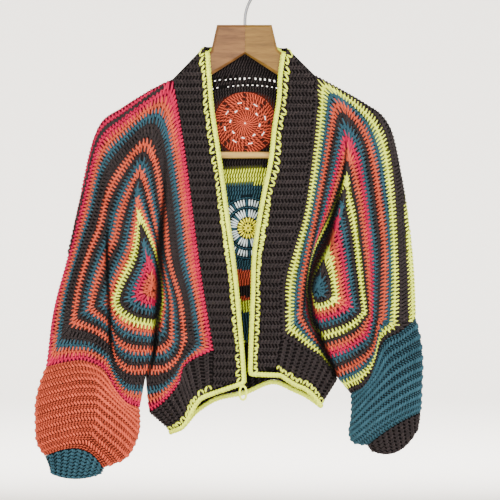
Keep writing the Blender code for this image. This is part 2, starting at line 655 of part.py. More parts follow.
def hem_bands():
    """The two front hem bands and the one across the back; gives their lower edges."""
    edges = []
    for half, edge in zip(HALVES, (LEFT_HEM_EDGE, RIGHT_HEM_EDGE)):
        upper = hem_border(half, True)
        lower = along(edge, at=share_of_length(upper[:, 0:3:2]))
        shift = (1 - share_of_length(lower)) * SEAM_GAP * (1 if half.mirror else -1)
        upper[:, 0] += shift
        lower[:, 0] += shift
        edges.append(hem_band("hem_band_" + half.side, upper, lower, not half.mirror))
    left, right = (hem_border(half, False) for half in HALVES)
    share = np.linspace(0, 1, 15)[1:-1, None]
    middle = left[0] * (1 - share) + right[0] * share
    upper = np.vstack([left[::-1], middle, right])
    lower = along(BACK_HEM_EDGE, at=share_of_length(upper[:, 0:3:2]))
    edges.append(hem_band("hem_band_back", upper, lower, True))
    return edges


def back_borders(places):
    """Left and right borders of the back panels, and the depth beside them."""
    return [np.column_stack([band_border(half, False, places), border_depth(half, places)])
            for half in HALVES]


def back_depth(spot, heights, depth):
    """Depth of the back at x, z places, rounded over both shoulder folds."""
    full = np.interp(spot[:, 1], heights, depth)
    return np.minimum(*[turned_over(half, spot, full) for half in HALVES])


def back_panel(name, colour, low, high):
    """A plain panel of the back between the two motifs."""
    rows, columns = 9, 7
    left, right = back_borders(np.linspace(low, high, rows))
    left[0, 2] += SEAM_SHIFT
    right[0, 2] += SEAM_SHIFT
    grid = sheet_between(left[:, 0:3], right[:, 0:3], columns).transpose(1, 0, 2)
    number = np.arange(rows * columns).reshape(rows, columns)
    cloth(name, grid.reshape(-1, 3), grid_quads(rows, columns), colour,
          sewn=[(number[:, 0], left[:, 3:6]), (number[:, -1], right[:, 3:6])])


def yoke_line(left, right, count):
    """The arched seam under the back neck piece, from the left to the right motif."""
    share = np.linspace(0, 1, count)[:, None]
    line = left * (1 - share) + right * share
    line[:, 2] += YOKE_ARCH * (1 - (2 * share[:, 0] - 1) ** 2)
    return line


def round_panel():
    """The panel with the round lace motif, cut through between its posts."""
    side = LACE_SECTORS // 4
    left, right = back_borders(np.linspace(*ROUND_PLACES, side + 1))
    left[0, 2] += SEAM_SHIFT
    right[0, 2] += SEAM_SHIFT
    share = np.linspace(0, 1, side + 1)[:, None]
    top = yoke_line(left[-1], right[-1], side + 1)
    base = left[0] * (1 - share) + right[0] * share
    border = np.vstack([right[:-1], top[::-1][:-1], left[::-1][:-1], base[:-1]])
    turn = np.arctan2(border[0, 2] - ROUND_CENTRE[1], border[0, 0] - ROUND_CENTRE[0])
    turns = turn + np.arange(LACE_SECTORS) * 2 * np.pi / LACE_SECTORS
    radii = [ROUND_EYE] + [row[0] for row in LACE_ROUNDS]
    rings = [ROUND_CENTRE + r * np.column_stack([np.cos(turns), np.sin(turns)]) for r in radii]
    spot = np.vstack(rings + [border[:, 0:3:2]])
    points = with_depth(spot, back_depth(spot, left[:, 2], left[:, 6]))
    first = len(radii) * LACE_SECTORS
    sides = np.concatenate([np.arange(side + 1), np.arange(2 * side, 3 * side + 1)])
    points[first + sides] = border[sides, 0:3]
    quads = grid_quads(len(radii) + 1, LACE_SECTORS, closed=True)
    cut = np.zeros(len(quads), bool)
    for number, (_, lace) in enumerate(LACE_ROUNDS):
        if lace:
            shift = 1 if number == 2 else 3
            cut[number * LACE_SECTORS + np.arange(shift, LACE_SECTORS, 4)] = True
    cloth("back_round_panel", points, quads[~cut][:, ::-1], "coral",
          sewn=[(first + sides, border[sides, 3:6])])


def neck_piece():
    """The back neck piece, from the shoulder folds and neck edge down to the panels."""
    slope = 6
    fold_left, fold_right = (neck_fold(half) for half in HALVES)
    neck = along((fold_left[1], NECK_MIDDLE, fold_right[1]), at=NECK_STEPS)
    up = sheet_between(fold_left[:1], fold_left[1:], slope)[:, 0]
    down = sheet_between(fold_right[1:], fold_right[:1], slope)[:, 0]
    top = np.vstack([up, neck[1:-1], down])
    top[0, 0] += SEAM_SHIFT
    top[-1, 0] -= SEAM_SHIFT
    count = len(top)
    places = np.array([place for place in BACK_STEPS["front"] if place >= ROUND_PLACES[1]])
    rows = len(places)
    left, right = back_borders(places)
    left[0, 2] += SEAM_SHIFT
    right[0, 2] += SEAM_SHIFT
    base = yoke_line(left[0], right[0], count)
    share = ((places - places[0]) / (1 - places[0]))[:, None, None]
    spot = base[None, :, 0:3:2] * (1 - share) + top[None] * share
    spot[:, 0] = left[:, 0:3:2]
    spot[:, -1] = right[:, 0:3:2]
    flat = spot.reshape(-1, 2)
    points = with_depth(flat, back_depth(flat, left[:, 2], left[:, 6]))
    number = np.arange(rows * count).reshape(rows, count)
    points[number[:, 0]] = left[:, 0:3]
    points[number[:, -1]] = right[:, 0:3]
    level = np.concatenate([number[-1, :slope], number[-1, -slope:]])
    cloth("neck_piece", points, grid_quads(rows, count), "charcoal", level=level,
          sewn=[(number[:, 0], left[:, 3:6]), (number[:, -1], right[:, 3:6])])
    return points[number[-1, slope - 1:1 - slope]]


# ------------------------------------------------------------- sleeves and cuffs
def sleeve_rings(table, around, down):
    """Points round the sleeve on a grid, from the rows of a section table."""
    table = np.asarray(table, float)
    rows = curve(np.linspace(0, 1, len(table)), table, down)
    turn = np.asarray(around)
    place = np.where(turn <= 0.5, turn, 1 - turn)
    outer, middle, inner = rows[:, None, 0:2], rows[:, None, 2:4], rows[:, None, 4:6]
    s = (2 * place)[None, :, None]
    flat = (outer * (1 - s) * (1 - 2 * s) + middle * 4 * s * (1 - s) + inner * s * (2 * s - 1))
    swing = np.sqrt(np.clip(1 - (4 * place - 1) ** 2, 0, 1))[None] * rows[:, 6:7]
    y = np.where(turn[None] <= 0.5, -swing, swing)
    return np.stack([flat[..., 0], y, flat[..., 1]], -1)


def sleeve_end(half, around):
    """The open end of the motif's sleeve, once round, at the same turns."""
    place = np.where(around <= 0.5, around, 1 - around)
    front, back = (motif_border(half, "end", layer, place) for layer in (True, False))
    ring = np.where((around <= 0.5)[:, None], front, back)
    loop = np.vstack([ring[-1:], ring, ring[:1]])
    ring[:, 0:3] = moved_off(loop[:, 0:3], loop[:, 3:6], half.centre, SLEEVE_SHIFT)[1:-1]
    return ring


# Places round a sleeve, from the underside of its front layer to that of the back.
SLEEVE_FRONT = (0, 0.03, 0.08, 0.12, 0.16, 0.2, 0.24, 0.28, 0.32, 0.36, 0.41, 0.46, 0.485)
SLEEVE_BACK = (0.5, 0.52, 0.55, 0.585, 0.62, 0.66, 0.7, 0.75, 0.8, 0.85, 0.9, 0.96)


def sleeve_tube(name, grid, first, flip, colour, raised=0.0):
    """A tube of cloth whose first ring lies along the piece it is sewn to.

    Gives the ring where the next piece starts, with the cloth's normals there.
    """
    rows, columns = grid.shape[:2]
    quads = grid_quads(rows, columns, closed=True)
    if flip:
        quads = quads[:, ::-1]
    normals = cloth(name, grid.reshape(-1, 3), quads, colour, raised=raised,
                    sewn=[(np.arange(columns), first[:, 3:6])])
    run = grid[-1] - grid[-2]
    run /= np.linalg.norm(run, axis=1)[:, None]
    return np.hstack([grid[-1] + run * SLEEVE_SHIFT, normals[-columns:]])


def lower_sleeve(half):
    """The puffed lower sleeve, worked downwards in the round, and its ribbed cuff."""
    left = half.side == "left"
    rows = 9
    around = np.concatenate([SLEEVE_FRONT, SLEEVE_BACK])
    columns = len(around)
    down = np.linspace(0, 1, rows)
    grid = sleeve_rings(LEFT_SLEEVE if left else RIGHT_SLEEVE, around, down)
    end = sleeve_end(half, around)
    fade = np.clip(1 - down / 0.45, 0, 1) ** 2
    grid += (end[:, 0:3] - grid[0])[None] * fade[:, None, None]
    last = sleeve_tube("lower_sleeve_" + half.side, grid, end, not left, "coral" if left else "teal")

    ribs, rows = 34, 3
    turns = np.arange(ribs) / ribs
    closed = np.vstack([last, last[:1]])
    first = between(np.append(around, 1), closed, turns)
    cuff = sleeve_rings(LEFT_CUFF if left else RIGHT_CUFF, turns, np.linspace(0, 1, rows))
    cuff[0] = first[:, 0:3]
    rib = np.tile(np.arange(ribs) % 2, rows) * RIDGE_HEIGHT
    sleeve_tube("cuff_" + half.side, cuff, first, not left, "teal" if left else "charcoal", rib)


# ------------------------------------------------------------------ corded edging
def spaced(count):
    """Numbers of the points that a cord keeps: all near the ends, every other between."""
    middle = np.arange(4, count - 4, 2)
    return np.concatenate([np.arange(4), middle, np.arange(count - 4, count)])


def edging(fronts, neck, hems):
    """The corded edging, worked in one round: neck, right front, hem and left front."""
    reach = ROPE_RADIUS + ROPE_GAP
    flat = np.array([0, 1.0, 0])
    left_hem, right_hem, back_hem = hems
    runs = []
    for front, hem, out in zip(fronts, (left_hem, right_hem), (1, -1)):
        chosen = np.concatenate([np.arange(1, TURNED_ROWS + 3), np.arange(TURNED_ROWS + 5, len(front) - 2, 3)])
        over = front[:1] * (1, 0, 1) + (reach + 1) * np.array([out * 0.8, 0, 0.6])
        line = front[chosen] + (out * reach, 0, 0)
        turn = np.radians([-20, -70])
        corner = front[-1] + CORNER_REACH * np.column_stack([out * np.cos(turn), 0 * turn, np.sin(turn)])
        hem[-1, 1] = 0
        foot = moved_off(np.vstack([front[-1:], hem]), flat, EDGING_CENTRE, reach)[1:]
        foot = foot[spaced(len(foot))]
        runs.append(np.vstack([over, line, corner, foot]))
    top = neck[1:-1] + (0, 0, reach)
    under = moved_off(back_hem, flat, EDGING_CENTRE, reach)
    under = under[spaced(len(under))[1:-1]]
    path = np.vstack([top, runs[1], under[::-1], runs[0][::-1]])
    tube("edging", path, ROPE_RADIUS, "lemon", sides=5, closed=True)


# ------------------------------------------------------------------------ hanger
def wood_arm(half):
    """One arm of the hanger: a flat board whose top follows the shoulder."""
    left = half.side == "left"
    neck = LEFT_WOOD_NECK if left else RIGHT_WOOD_NECK
    under = LEFT_WOOD_UNDER if left else RIGHT_WOOD_UNDER
    side = -1 if left else 1
    places = [place for place in SHOULDER_STEPS if place <= WOOD_REACH]
    fold = motif_border(half, "shoulder", True, places)[:, 0:3:2]
    run = np.gradient(fold, axis=0)
    run /= np.linalg.norm(run, axis=1)[:, None]
    inward = np.column_stack([run[:, 1], -run[:, 0]]) * side
    inset = np.full((len(fold), 1), WOOD_CLEARANCE)
    inset[0] += 1.5
    top = fold + inward * inset * np.sign(-inward[:, 1:])
    seam = side * SEAM_GAP / 2
    outline = np.vstack([[(seam, WOOD_TOP)], neck, top, under, [(seam, WOOD_PEAK)]])
    if left:
        outline = outline[::-1]
    before, after = np.roll(outline, 1, axis=0), np.roll(outline, -1, axis=0)
    into = (outline - before) / np.linalg.norm(outline - before, axis=1)[:, None]
    away = (after - outline) / np.linalg.norm(after - outline, axis=1)[:, None]
    side_in = np.column_stack([into[:, 1], -into[:, 0]])
    side_out = np.column_stack([away[:, 1], -away[:, 0]])
    mitre = (side_in + side_out) / (1 + (side_in * side_out).sum(1))[:, None]
    mitre[outline[:, 0] == seam, 0] = 0
    face = outline + WOOD_CHAMFER * mitre
    half_depth = WOOD_THICKNESS / 2
    flat_depth = half_depth - WOOD_CHAMFER
    count = len(outline)
    points = np.vstack([with_depth(face, -half_depth), with_depth(outline, -flat_depth),
                        with_depth(outline, flat_depth), with_depth(face, half_depth)])
    quads = grid_quads(4, count, closed=True).tolist()
    ends = [list(range(count))[::-1], list(range(3 * count, 4 * count))]
    item = add_object("hanger_arm_" + half.side, points, quads + ends, "wood", smooth=False)
    shape = bmesh.new()
    shape.from_mesh(item.data)
    bmesh.ops.recalc_face_normals(shape, faces=shape.faces)
    shape.to_mesh(item.data)
    shape.free()


def hanger():
    """Two arms joined at the middle, a round bar between their ends and a wire hook."""
    for half in HALVES:
        wood_arm(half)
    ends = (LEFT_WOOD_UNDER[2][0] + SEAM_GAP, RIGHT_WOOD_UNDER[2][0] - SEAM_GAP)
    bar = np.array([(x, 0, BAR_HEIGHT) for x in np.linspace(*ends, 3)], float)
    tube("hanger_bar", bar, BAR_RADIUS, "pale_wood", sides=12)
    turns = np.radians(np.linspace(-40, 195, 17))
    centre = HOOK_WIRE - HOOK_BEND
    bend = np.column_stack([HOOK_BEND * np.cos(turns), 0 * turns, centre + HOOK_BEND * np.sin(turns)])
    stem = np.array([(0, 0, WOOD_TOP + SEAM_GAP), (0, 0, -72), (2, 0, -58), (8, 0, -43)], float)
    tube("hanger_hook", np.vstack([stem, bend]), HOOK_WIRE, "chrome", sides=8)


def build():
    """Make every piece."""
    fronts = []
    for half in HALVES:
        motif_layer(half, True)
        motif_layer(half, False)
        fronts.append(front_band(half))
        lower_sleeve(half)
    hems = hem_bands()
    round_panel()
    for name, colour, low, high in BACK_PANELS:
        back_panel(name, colour, low, high)
    edging(fronts, neck_piece(), hems)
    hanger()


for old in list(bpy.data.objects):
    bpy.data.objects.remove(old)
build()
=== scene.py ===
# %% [markdown]
# # A granny square cardigan on a wooden hanger
# The real cardigan is crocheted from thick yarn.  Each half is one large
# hexagon of 17 coloured rounds, folded so that three of its sides make the
# body and the sleeve.  Charcoal bands, a neck piece, back panels, puffed
# lower sleeves and a pale corded edging are crocheted on to the two halves.
#
# The frame holds plain solids of the right size.  This lesson covers them
# with what the eye sees: a thin ground of cloth, and thousands of short
# strands of yarn that lie on it stitch by stitch.

import bmesh
import bpy
import numpy as np
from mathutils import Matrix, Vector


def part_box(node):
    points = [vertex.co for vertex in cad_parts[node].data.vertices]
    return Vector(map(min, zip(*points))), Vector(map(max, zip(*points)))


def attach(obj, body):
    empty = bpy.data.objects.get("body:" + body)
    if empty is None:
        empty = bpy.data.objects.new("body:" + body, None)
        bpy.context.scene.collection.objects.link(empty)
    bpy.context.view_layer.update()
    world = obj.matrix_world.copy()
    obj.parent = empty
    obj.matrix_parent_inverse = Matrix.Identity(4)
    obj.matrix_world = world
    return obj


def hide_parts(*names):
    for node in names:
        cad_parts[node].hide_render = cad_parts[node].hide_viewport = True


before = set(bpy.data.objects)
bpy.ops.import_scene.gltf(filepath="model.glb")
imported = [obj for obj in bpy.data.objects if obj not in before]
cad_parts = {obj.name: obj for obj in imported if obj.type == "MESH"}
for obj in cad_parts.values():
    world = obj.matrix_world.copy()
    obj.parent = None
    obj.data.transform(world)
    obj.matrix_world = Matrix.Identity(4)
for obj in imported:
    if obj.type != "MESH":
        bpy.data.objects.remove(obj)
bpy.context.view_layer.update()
MM = 0.001               # every size below is in millimetres until a mesh is made
print("pieces in the frame:", len(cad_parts))

# %% [markdown]
# ## The garment's own sizes
# A hexagon motif is described by rays, from its centre in the underarm out to
# its edge.  For each side of the motif, a row gives a place along that side, the x
# and z of the ray on three rounds, and the depth of the layer from the middle
# plane.  The solids were worked out from the same rays, so that cloth
# made from them lies where the solids lie.  Cloth is softer than a rigid solid in
# two places: the folds under each arm (place 0.50) touch, where the solids stand
# a little apart, and the rounds bend more gently near the eye and the neck.

# %% The rays of the two motifs
# place, inner x and z, outer x and z, border x and z, outer and border depth; each side
# but the first begins, at place 0, with the ray that ends the side before it
LEFT_RAYS = {
    "hem": (
        (0.50, -140.6, -539, -151.6, -607, -146, -672, 0, 0),
        (0.62, -135, -537, -129, -607, -125, -657, 14, 15),
        (0.75, -132, -533, -112, -599, -101, -628, 15, 17),
        (0.88, -130, -528, -99, -583, -89, -597, 15, 17),
        (1.00, -129, -525, -92, -559, -48, -576, 15, 17),
    ),
    "front": (
        (0.20, -125, -500, -99, -501, -61, -501, 14, 16),
        (0.40, -130, -450, -115, -443, -70, -441, 14, 15),
        (0.60, -147, -398, -122, -383, -78, -381, 13, 14),
        (0.80, -159, -372, -134, -302, -92, -271, 12, 13),
        (1.00, -163, -360, -147, -254, -110, -163, 11, 9.5),
    ),
    "shoulder": (
        (0.085, -163, -372, -160, -264, -146, -181, 12, 9.5),
        (0.170, -163, -386, -182, -293, -184, -205, 14, 9.5),
        (0.333, -165, -409, -208, -338, -226, -241, 17, 10),
        (0.500, -170, -433, -221, -389, -253, -350, 19, 14),
        (0.667, -180, -455, -238, -432, -270, -433, 22, 18),
        (0.833, -190, -475, -252, -481, -291, -516, 25, 22),
        (1.000, -199, -499, -261, -534, -303, -602, 27, 26),
    ),
    "end": (
        (0.12, -198, -505, -240, -541, -268, -593, 28, 30),
        (0.24, -197, -510, -218, -551, -236, -593, 28, 32),
        (0.30, -195, -515, -204, -565, -215, -604, 26, 31),
        (0.36, -190, -520, -196, -588, -198, -632, 25, 29),
        (0.43, -172, -532, -177, -606, -181, -655, 20, 24),
        (0.50, -141.4, -539, -152.4, -607, -163, -664, 0, 0),
    ),
}
RIGHT_RAYS = {
    "hem": (
        (0.50, 113.6, -551, 129.8, -590.6, 141, -622, 0, 0),
        (0.66, 104, -541, 111, -566, 117, -594, 13, 15),
        (0.83, 101, -529, 97, -549, 90, -576, 14, 17),
        (1.00, 98, -510, 83, -527, 55, -557, 14, 17),
    ),
    "front": (
        (0.20, 94, -480, 87, -479, 54, -477, 14, 16),
        (0.40, 104, -427, 97, -424, 68, -424, 14, 15),
        (0.60, 130, -372, 109, -365, 86, -366, 13, 14),
        (0.80, 147, -330, 126, -273, 99, -264, 12, 13),
        (1.00, 156, -308, 137, -196, 107, -158, 11, 9.5),
    ),
    "shoulder": (
        (0.085, 157, -325, 158, -212, 140, -176, 12, 9.5),
        (0.170, 158, -343, 178, -237, 176, -196, 14, 9.5),
        (0.333, 165, -378, 196, -293, 219, -232, 17, 10),
        (0.500, 170, -414, 205, -351, 239, -311, 19, 14),
        (0.667, 174, -450, 212, -410, 250, -383, 21, 18),
        (0.833, 178, -485, 213, -469, 257, -455, 23, 22),
        (1.000, 183, -520, 210, -530, 260, -528, 25, 26),
    ),
    "end": (
        (0.13, 178, -525, 207, -534, 233, -549, 26, 30),
        (0.24, 173, -530, 202, -542, 207, -568, 27, 31),
        (0.31, 167, -535, 195, -572, 193, -608, 29, 33),
        (0.40, 150, -545, 173, -595, 180, -631, 24, 27),
        (0.50, 116.4, -556, 138.6, -612, 163, -642, 0, 0),
    ),
}
# The crease between body and sleeve: x, z and how much of the depth it takes.
LEFT_VALLEY = ((-123, -315, 0.0), (-126, -355, 0.30), (-130, -397, 0.55),
               (-136, -426, 0.70), (-140, -461, 0.80), (-141, -482, 0.80))
RIGHT_VALLEY = ((154, -255, 0.0), (149, -310, 0.35), (139, -346, 0.60),
                (129, -401, 0.75), (119, -437, 0.80), (110, -484, 0.80))
# Soft troughs pressed into the fronts: x, z, depth.
LEFT_TROUGHS = (
    ((-211, -365, 0), (-207, -430, 2), (-205, -507, 6), (-203, -559, 8), (-203, -612, 7)),
    ((-235, -300, 0), (-246, -380, 3), (-262, -460, 3), (-276, -540, 0)),
    ((-104, -400, 0), (-96, -470, 3), (-84, -540, 3)),
)
RIGHT_TROUGHS = (
    ((200, -440, 0), (201, -501, 5), (202, -545, 8), (201, -590, 7)),
    ((219, -330, 0), (228, -410, 3), (234, -480, 0)),
    ((92, -330, 0), (84, -420, 3), (72, -500, 2)),
)
# The eye is the motif's first ring: its radius, its depth, and the direction where it starts.
EYE_RADIUS, EYE_START, EYE_DEPTH = 7.0, -86, 2.6
FOLD_RADIUS, SHOULDER_RADIUS, SHOULDER_DEPTH = 20.0, 13.0, 10.0
INNER_DEPTH, END_DEPTH = 14.0, 14      # depth on the inner rounds, and the least at a sleeve's end
VALLEY_WIDTH, TROUGH_WIDTH, LAYER_GAP = 12.0, 11.0, 0.4
BACK_VALLEY = 0.4                      # share of the crease that presses the back layer
print("rays of the left and right motif:", sum(map(len, LEFT_RAYS.values())),
      sum(map(len, RIGHT_RAYS.values())))


# %% [markdown]
# ## Smooth lines
# A maker pins a few places and lets the cloth find a smooth line between them.
# A cubic curve does the same: it runs through every value and its slope at each
# is the mean slope of the two neighbours.

# %% Curve helpers
def curve(knots, values, at):
    """Cubic through values at knots: each span blends its end values and end slopes."""
    knots, values, at = (np.asarray(item, float) for item in (knots, values, at))
    slopes = np.gradient(values, knots, axis=0)
    span = np.clip(np.searchsorted(knots, at, side="right") - 1, 0, len(knots) - 2)
    shape = (len(at),) + (1,) * (values.ndim - 1)
    width = (knots[span + 1] - knots[span]).reshape(shape)
    s = (at - knots[span]).reshape(shape) / width
    return ((2 * s**3 - 3 * s**2 + 1) * values[span] + (s**3 - 2 * s**2 + s) * width * slopes[span]
            + (3 * s**2 - 2 * s**3) * values[span + 1] + (s**3 - s**2) * width * slopes[span + 1])


def along(points, at):
    """The smooth line through x, z points, read at fractions of its length."""
    points = np.asarray(points, float)
    chord = np.linalg.norm(np.diff(points[:, :2], axis=0), axis=1)
    return curve(np.concatenate([[0], np.cumsum(chord)]) / chord.sum(), points, at)


def share_of_length(line):
    """How far along a line each of its points lies, from 0 to 1."""
    step = np.linalg.norm(np.diff(line, axis=0), axis=1)
    return np.concatenate([[0], np.cumsum(step)]) / step.sum()


def nearest(points, line):
    """Distance from each x, z point to a line of straight steps, and its other columns there."""
    start, step = line[:-1], np.diff(line, axis=0)
    offset = points[:, None] - start[None, :, :2]
    length = np.maximum((step[:, :2] ** 2).sum(1), 1e-9)
    s = np.clip((offset * step[None, :, :2]).sum(2) / length, 0, 1)
    gaps = np.linalg.norm(offset - s[..., None] * step[None, :, :2], axis=2)
    best, rows = gaps.argmin(1), np.arange(len(points))
    return gaps[rows, best], start[best, 2:] + s[rows, best][:, None] * step[best, 2:]


def rounding(distance, radius):
    """A quarter circle: 0 on a folded edge, 1 from one radius inwards."""
    return np.sqrt(np.clip(1 - (1 - np.clip(distance / radius, 0, 1)) ** 2, 0, 1))


def unit(vectors):
    """Vectors of length one."""
    return vectors / np.maximum(np.linalg.norm(vectors, axis=-1, keepdims=True), 1e-9)


print("half way along a bend:", along(((0, 0), (50, 20), (100, 0)), [0.5])[0].round(1))


# %% [markdown]
# ## Cloth as a grid
# Every cloth piece is a grid of points, with the rows of crochet running along
# its columns.  A place on the cloth is a row and a column number, which may lie
# between two grid points.  Stitches are set out in those numbers, so they follow
# every fold of the piece without being fitted to it.

# %% The cloth grid
class Cloth:
    """A grid of points, rows by columns, with unit normals that point out of the garment."""

    def __init__(self, points, outwards, closed=False):
        self.points = np.asarray(points, float)
        self.closed = closed
        self.rows, self.columns = self.points.shape[:2]
        down = np.gradient(self.points, axis=0)
        if closed:
            joined = np.concatenate([self.points[:, -1:], self.points, self.points[:, :1]], axis=1)
            across = (joined[:, 2:] - joined[:, :-2]) / 2
        else:
            across = np.gradient(self.points, axis=1)
        self.normals = unit(np.cross(across, down))
        reference = np.broadcast_to(outwards, self.points.shape)
        self.flipped = (self.normals * reference).sum() < 0
        if self.flipped:
            self.normals = -self.normals

    def at(self, row, column):
        """Point and normal at any place: the weighted mean of the four grid points round it."""
        row = np.clip(row, 0, self.rows - 1.001)
        limit = self.columns if self.closed else self.columns - 1.001
        column = column % limit if self.closed else np.clip(column, 0, limit)
        r, c = np.floor(row).astype(int), np.floor(column).astype(int)
        following = (c + 1) % self.columns
        s, t = (row - r)[..., None], (column - c)[..., None]
        found = []
        for grid in (self.points, self.normals):
            upper = grid[r, c] * (1 - t) + grid[r, following] * t
            lower = grid[r + 1, c] * (1 - t) + grid[r + 1, following] * t
            found.append(upper * (1 - s) + lower * s)
        return found[0], unit(found[1])

    def last_column(self):
        """The column number where the piece ends or, closed, meets itself again."""
        return self.columns if self.closed else self.columns - 1


FORWARDS, BACKWARDS = np.array([0, -1.0, 0]), np.array([0, 1.0, 0])
bend = Cloth(np.stack(np.meshgrid(np.arange(5.0), [0.0], np.arange(4.0), indexing="ij"), -1)[:, 0],
             FORWARDS)
print("a flat trial grid faces", bend.normals[0, 0])


# %% [markdown]
# ## The hexagon motifs
# Each motif is folded flat over itself: the front layer and the back layer share
# the fold over the shoulder and the folds under the arm.  The layer's depth is a
# product of soft steps: full depth inside, a quarter circle down to nothing at
# each fold, a crease where body and sleeve part, and a few shallow troughs.

# %% One half of the cardigan
class Motif:
    """A hexagon motif: its rays, folds and creases."""

    def __init__(self, side, centre, rounds, rays, valley, troughs):
        self.side, self.rounds, self.rays = side, rounds, dict(rays)
        for before, name in zip(list(rays)[:-1], list(rays)[1:]):
            self.rays[name] = ((0.0, *rays[before][-1][1:]), *rays[name])
        self.centre = np.array(centre, float)
        self.valley = np.array(valley, float)
        self.troughs = [along(trough, np.linspace(0, 1, 24)) for trough in troughs]
        self.out = 1 if side == "right" else -1

    def flat(self, name, places, rounds):
        """x, z and depth on a grid: one cubic along the rays, another along each ray."""
        table = np.array(self.rays[name])
        numbers = curve(table[:, 0], table[:, 1:], places)
        first = {"hem": -0.5, "front": 0.5, "shoulder": 1.5, "end": 2.5}[name]
        turn = np.radians(EYE_START + (180 - 2 * EYE_START) * (first + np.asarray(places)) / 3)
        eye = self.centre + EYE_RADIUS * np.column_stack([np.cos(turn) * -self.out, np.sin(turn)])
        deep = np.full(len(numbers), INNER_DEPTH)
        levels = np.stack([np.column_stack([eye, deep]), np.column_stack([numbers[:, 0:2], deep]),
                           np.column_stack([numbers[:, 2:4], numbers[:, 6]]),
                           np.column_stack([numbers[:, 4:6], numbers[:, 7]])])
        return curve(self.rounds, levels, rounds)

    def outline(self):
        """The x, z line of the shoulder fold, from the neck to the sleeve's end."""
        return self.flat("shoulder", np.linspace(0, 1, 40), [1.0])[0, :, :2]

    def layer(self, name, places, rounds, front=True):
        """Points of a layer: depth times the quarter circles at both folds and the crease."""
        grid = self.flat(name, places, rounds)
        spot, depth = grid[..., :2].reshape(-1, 2), grid[..., 2].reshape(-1)
        near_shoulder, _ = nearest(spot, self.outline())
        under = "hem" if name in ("hem", "front") else "end"
        fold = self.flat(under, [0.5], np.linspace(0, 1, 16))[:, 0, :2]
        near_fold, _ = nearest(spot, fold[:2] if name == "shoulder" else fold)
        near_valley, taken = nearest(spot, self.valley)
        bite = taken[:, 0] * np.exp(-(near_valley / VALLEY_WIDTH) ** 2)
        pressed = rounding(near_fold, FOLD_RADIUS) * (1 - bite * (1 if front else BACK_VALLEY))
        full = np.maximum(depth, END_DEPTH if name == "end" else SHOULDER_DEPTH)
        deep = full * rounding(near_shoulder, SHOULDER_RADIUS + full - SHOULDER_DEPTH) * pressed
        if front:
            for trough in self.troughs:
                gap, press = nearest(spot, trough)
                deep -= press[:, 0] * np.exp(-(gap / TROUGH_WIDTH) ** 2) * pressed
        deep = np.maximum(deep, LAYER_GAP / 2)
        y = -deep if front else deep
        return np.column_stack([spot[:, 0], y, spot[:, 1]]).reshape(*grid.shape[:2], 3)

    def border(self, name, places, front=True):
        """Points of one side of the motif's edge."""
        return self.layer(name, np.asarray(places, float), [1.0], front)[0]

    def border_depth(self, places):
        """Depth of the cloth along the front edge, before it turns over the shoulder."""
        return self.flat("front", places, [1.0])[0, :, 2]


LEFT = Motif("left", (-141, -482), (0.0, 0.265, 0.676, 1.0), LEFT_RAYS, LEFT_VALLEY, LEFT_TROUGHS)
RIGHT = Motif("right", (110, -484), (0.0, 0.44, 0.794, 1.0), RIGHT_RAYS, RIGHT_VALLEY, RIGHT_TROUGHS)
HALVES = (LEFT, RIGHT)
# How finely each side of a motif is read, from the fold under the arm round to the sleeve's.
SIDE_PLACES = {"hem": 0.5 + 0.5 * np.linspace(0, 1, 25) ** 1.5, "front": np.linspace(0, 1, 97),
               "shoulder": np.linspace(0, 1, 121), "end": 0.5 - 0.5 * np.linspace(1, 0, 45) ** 1.3}
RAY_PLACES = np.concatenate([np.linspace(0, 0.96, 69), 1 - 0.04 * (1 - np.linspace(0, 1, 8)[1:]) ** 1.6])
SIDE_ENDS = np.cumsum([0] + [len(places) - 1 for places in SIDE_PLACES.values()])
# At the neck corner the rounds turn in a bend: columns on each side, and smoothing steps.
CORNER_COLUMNS, CORNER_TURNS = 10, {"left": 80, "right": 24}


def motif_cloth(half, front):
    """The grid of one layer: its four sides joined, the neck corner softened, the centre closed.

    Softening moves a point part of the way to the mean of its two neighbours in the
    round: fully inside, not at all on the edge, and less away from the corner.
    """
    runs = [half.layer(name, places, RAY_PLACES, front) for name, places in SIDE_PLACES.items()]
    grid = np.concatenate([runs[0]] + [run[:, 1:] for run in runs[1:]], axis=1)
    corner = SIDE_ENDS[2]
    near = np.exp(-((np.arange(1, grid.shape[1] - 1) - corner) / CORNER_COLUMNS) ** 2)
    softness = (1 - RAY_PLACES[:, None] ** 6) * near
    for _ in range(CORNER_TURNS[half.side]):
        mean = (grid[:, :-2] + grid[:, 2:]) / 2
        grid[:, 1:-1] += softness[..., None] * (mean - grid[:, 1:-1])
    middle = (half.centre[0], -EYE_DEPTH if front else EYE_DEPTH, half.centre[1])
    grid = np.concatenate([np.broadcast_to(middle, (1, grid.shape[1], 3)), grid])
    return Cloth(grid, FORWARDS if front else BACKWARDS)


MOTIF_CLOTH = {(half.side, front): motif_cloth(half, front) for half in HALVES for front in (True, False)}
print("grid of a motif layer:", MOTIF_CLOTH["left", True].points.shape[:2])


# %% [markdown]
# ## Bands, neck and back
# The other cloth pieces grow from the motifs' edges, as they do on the real
# garment, where each is crocheted into the last round.  Their grids start on
# the motif's own edge points and end on a second line: the corded edge, the hem
# or the motif on the other side.

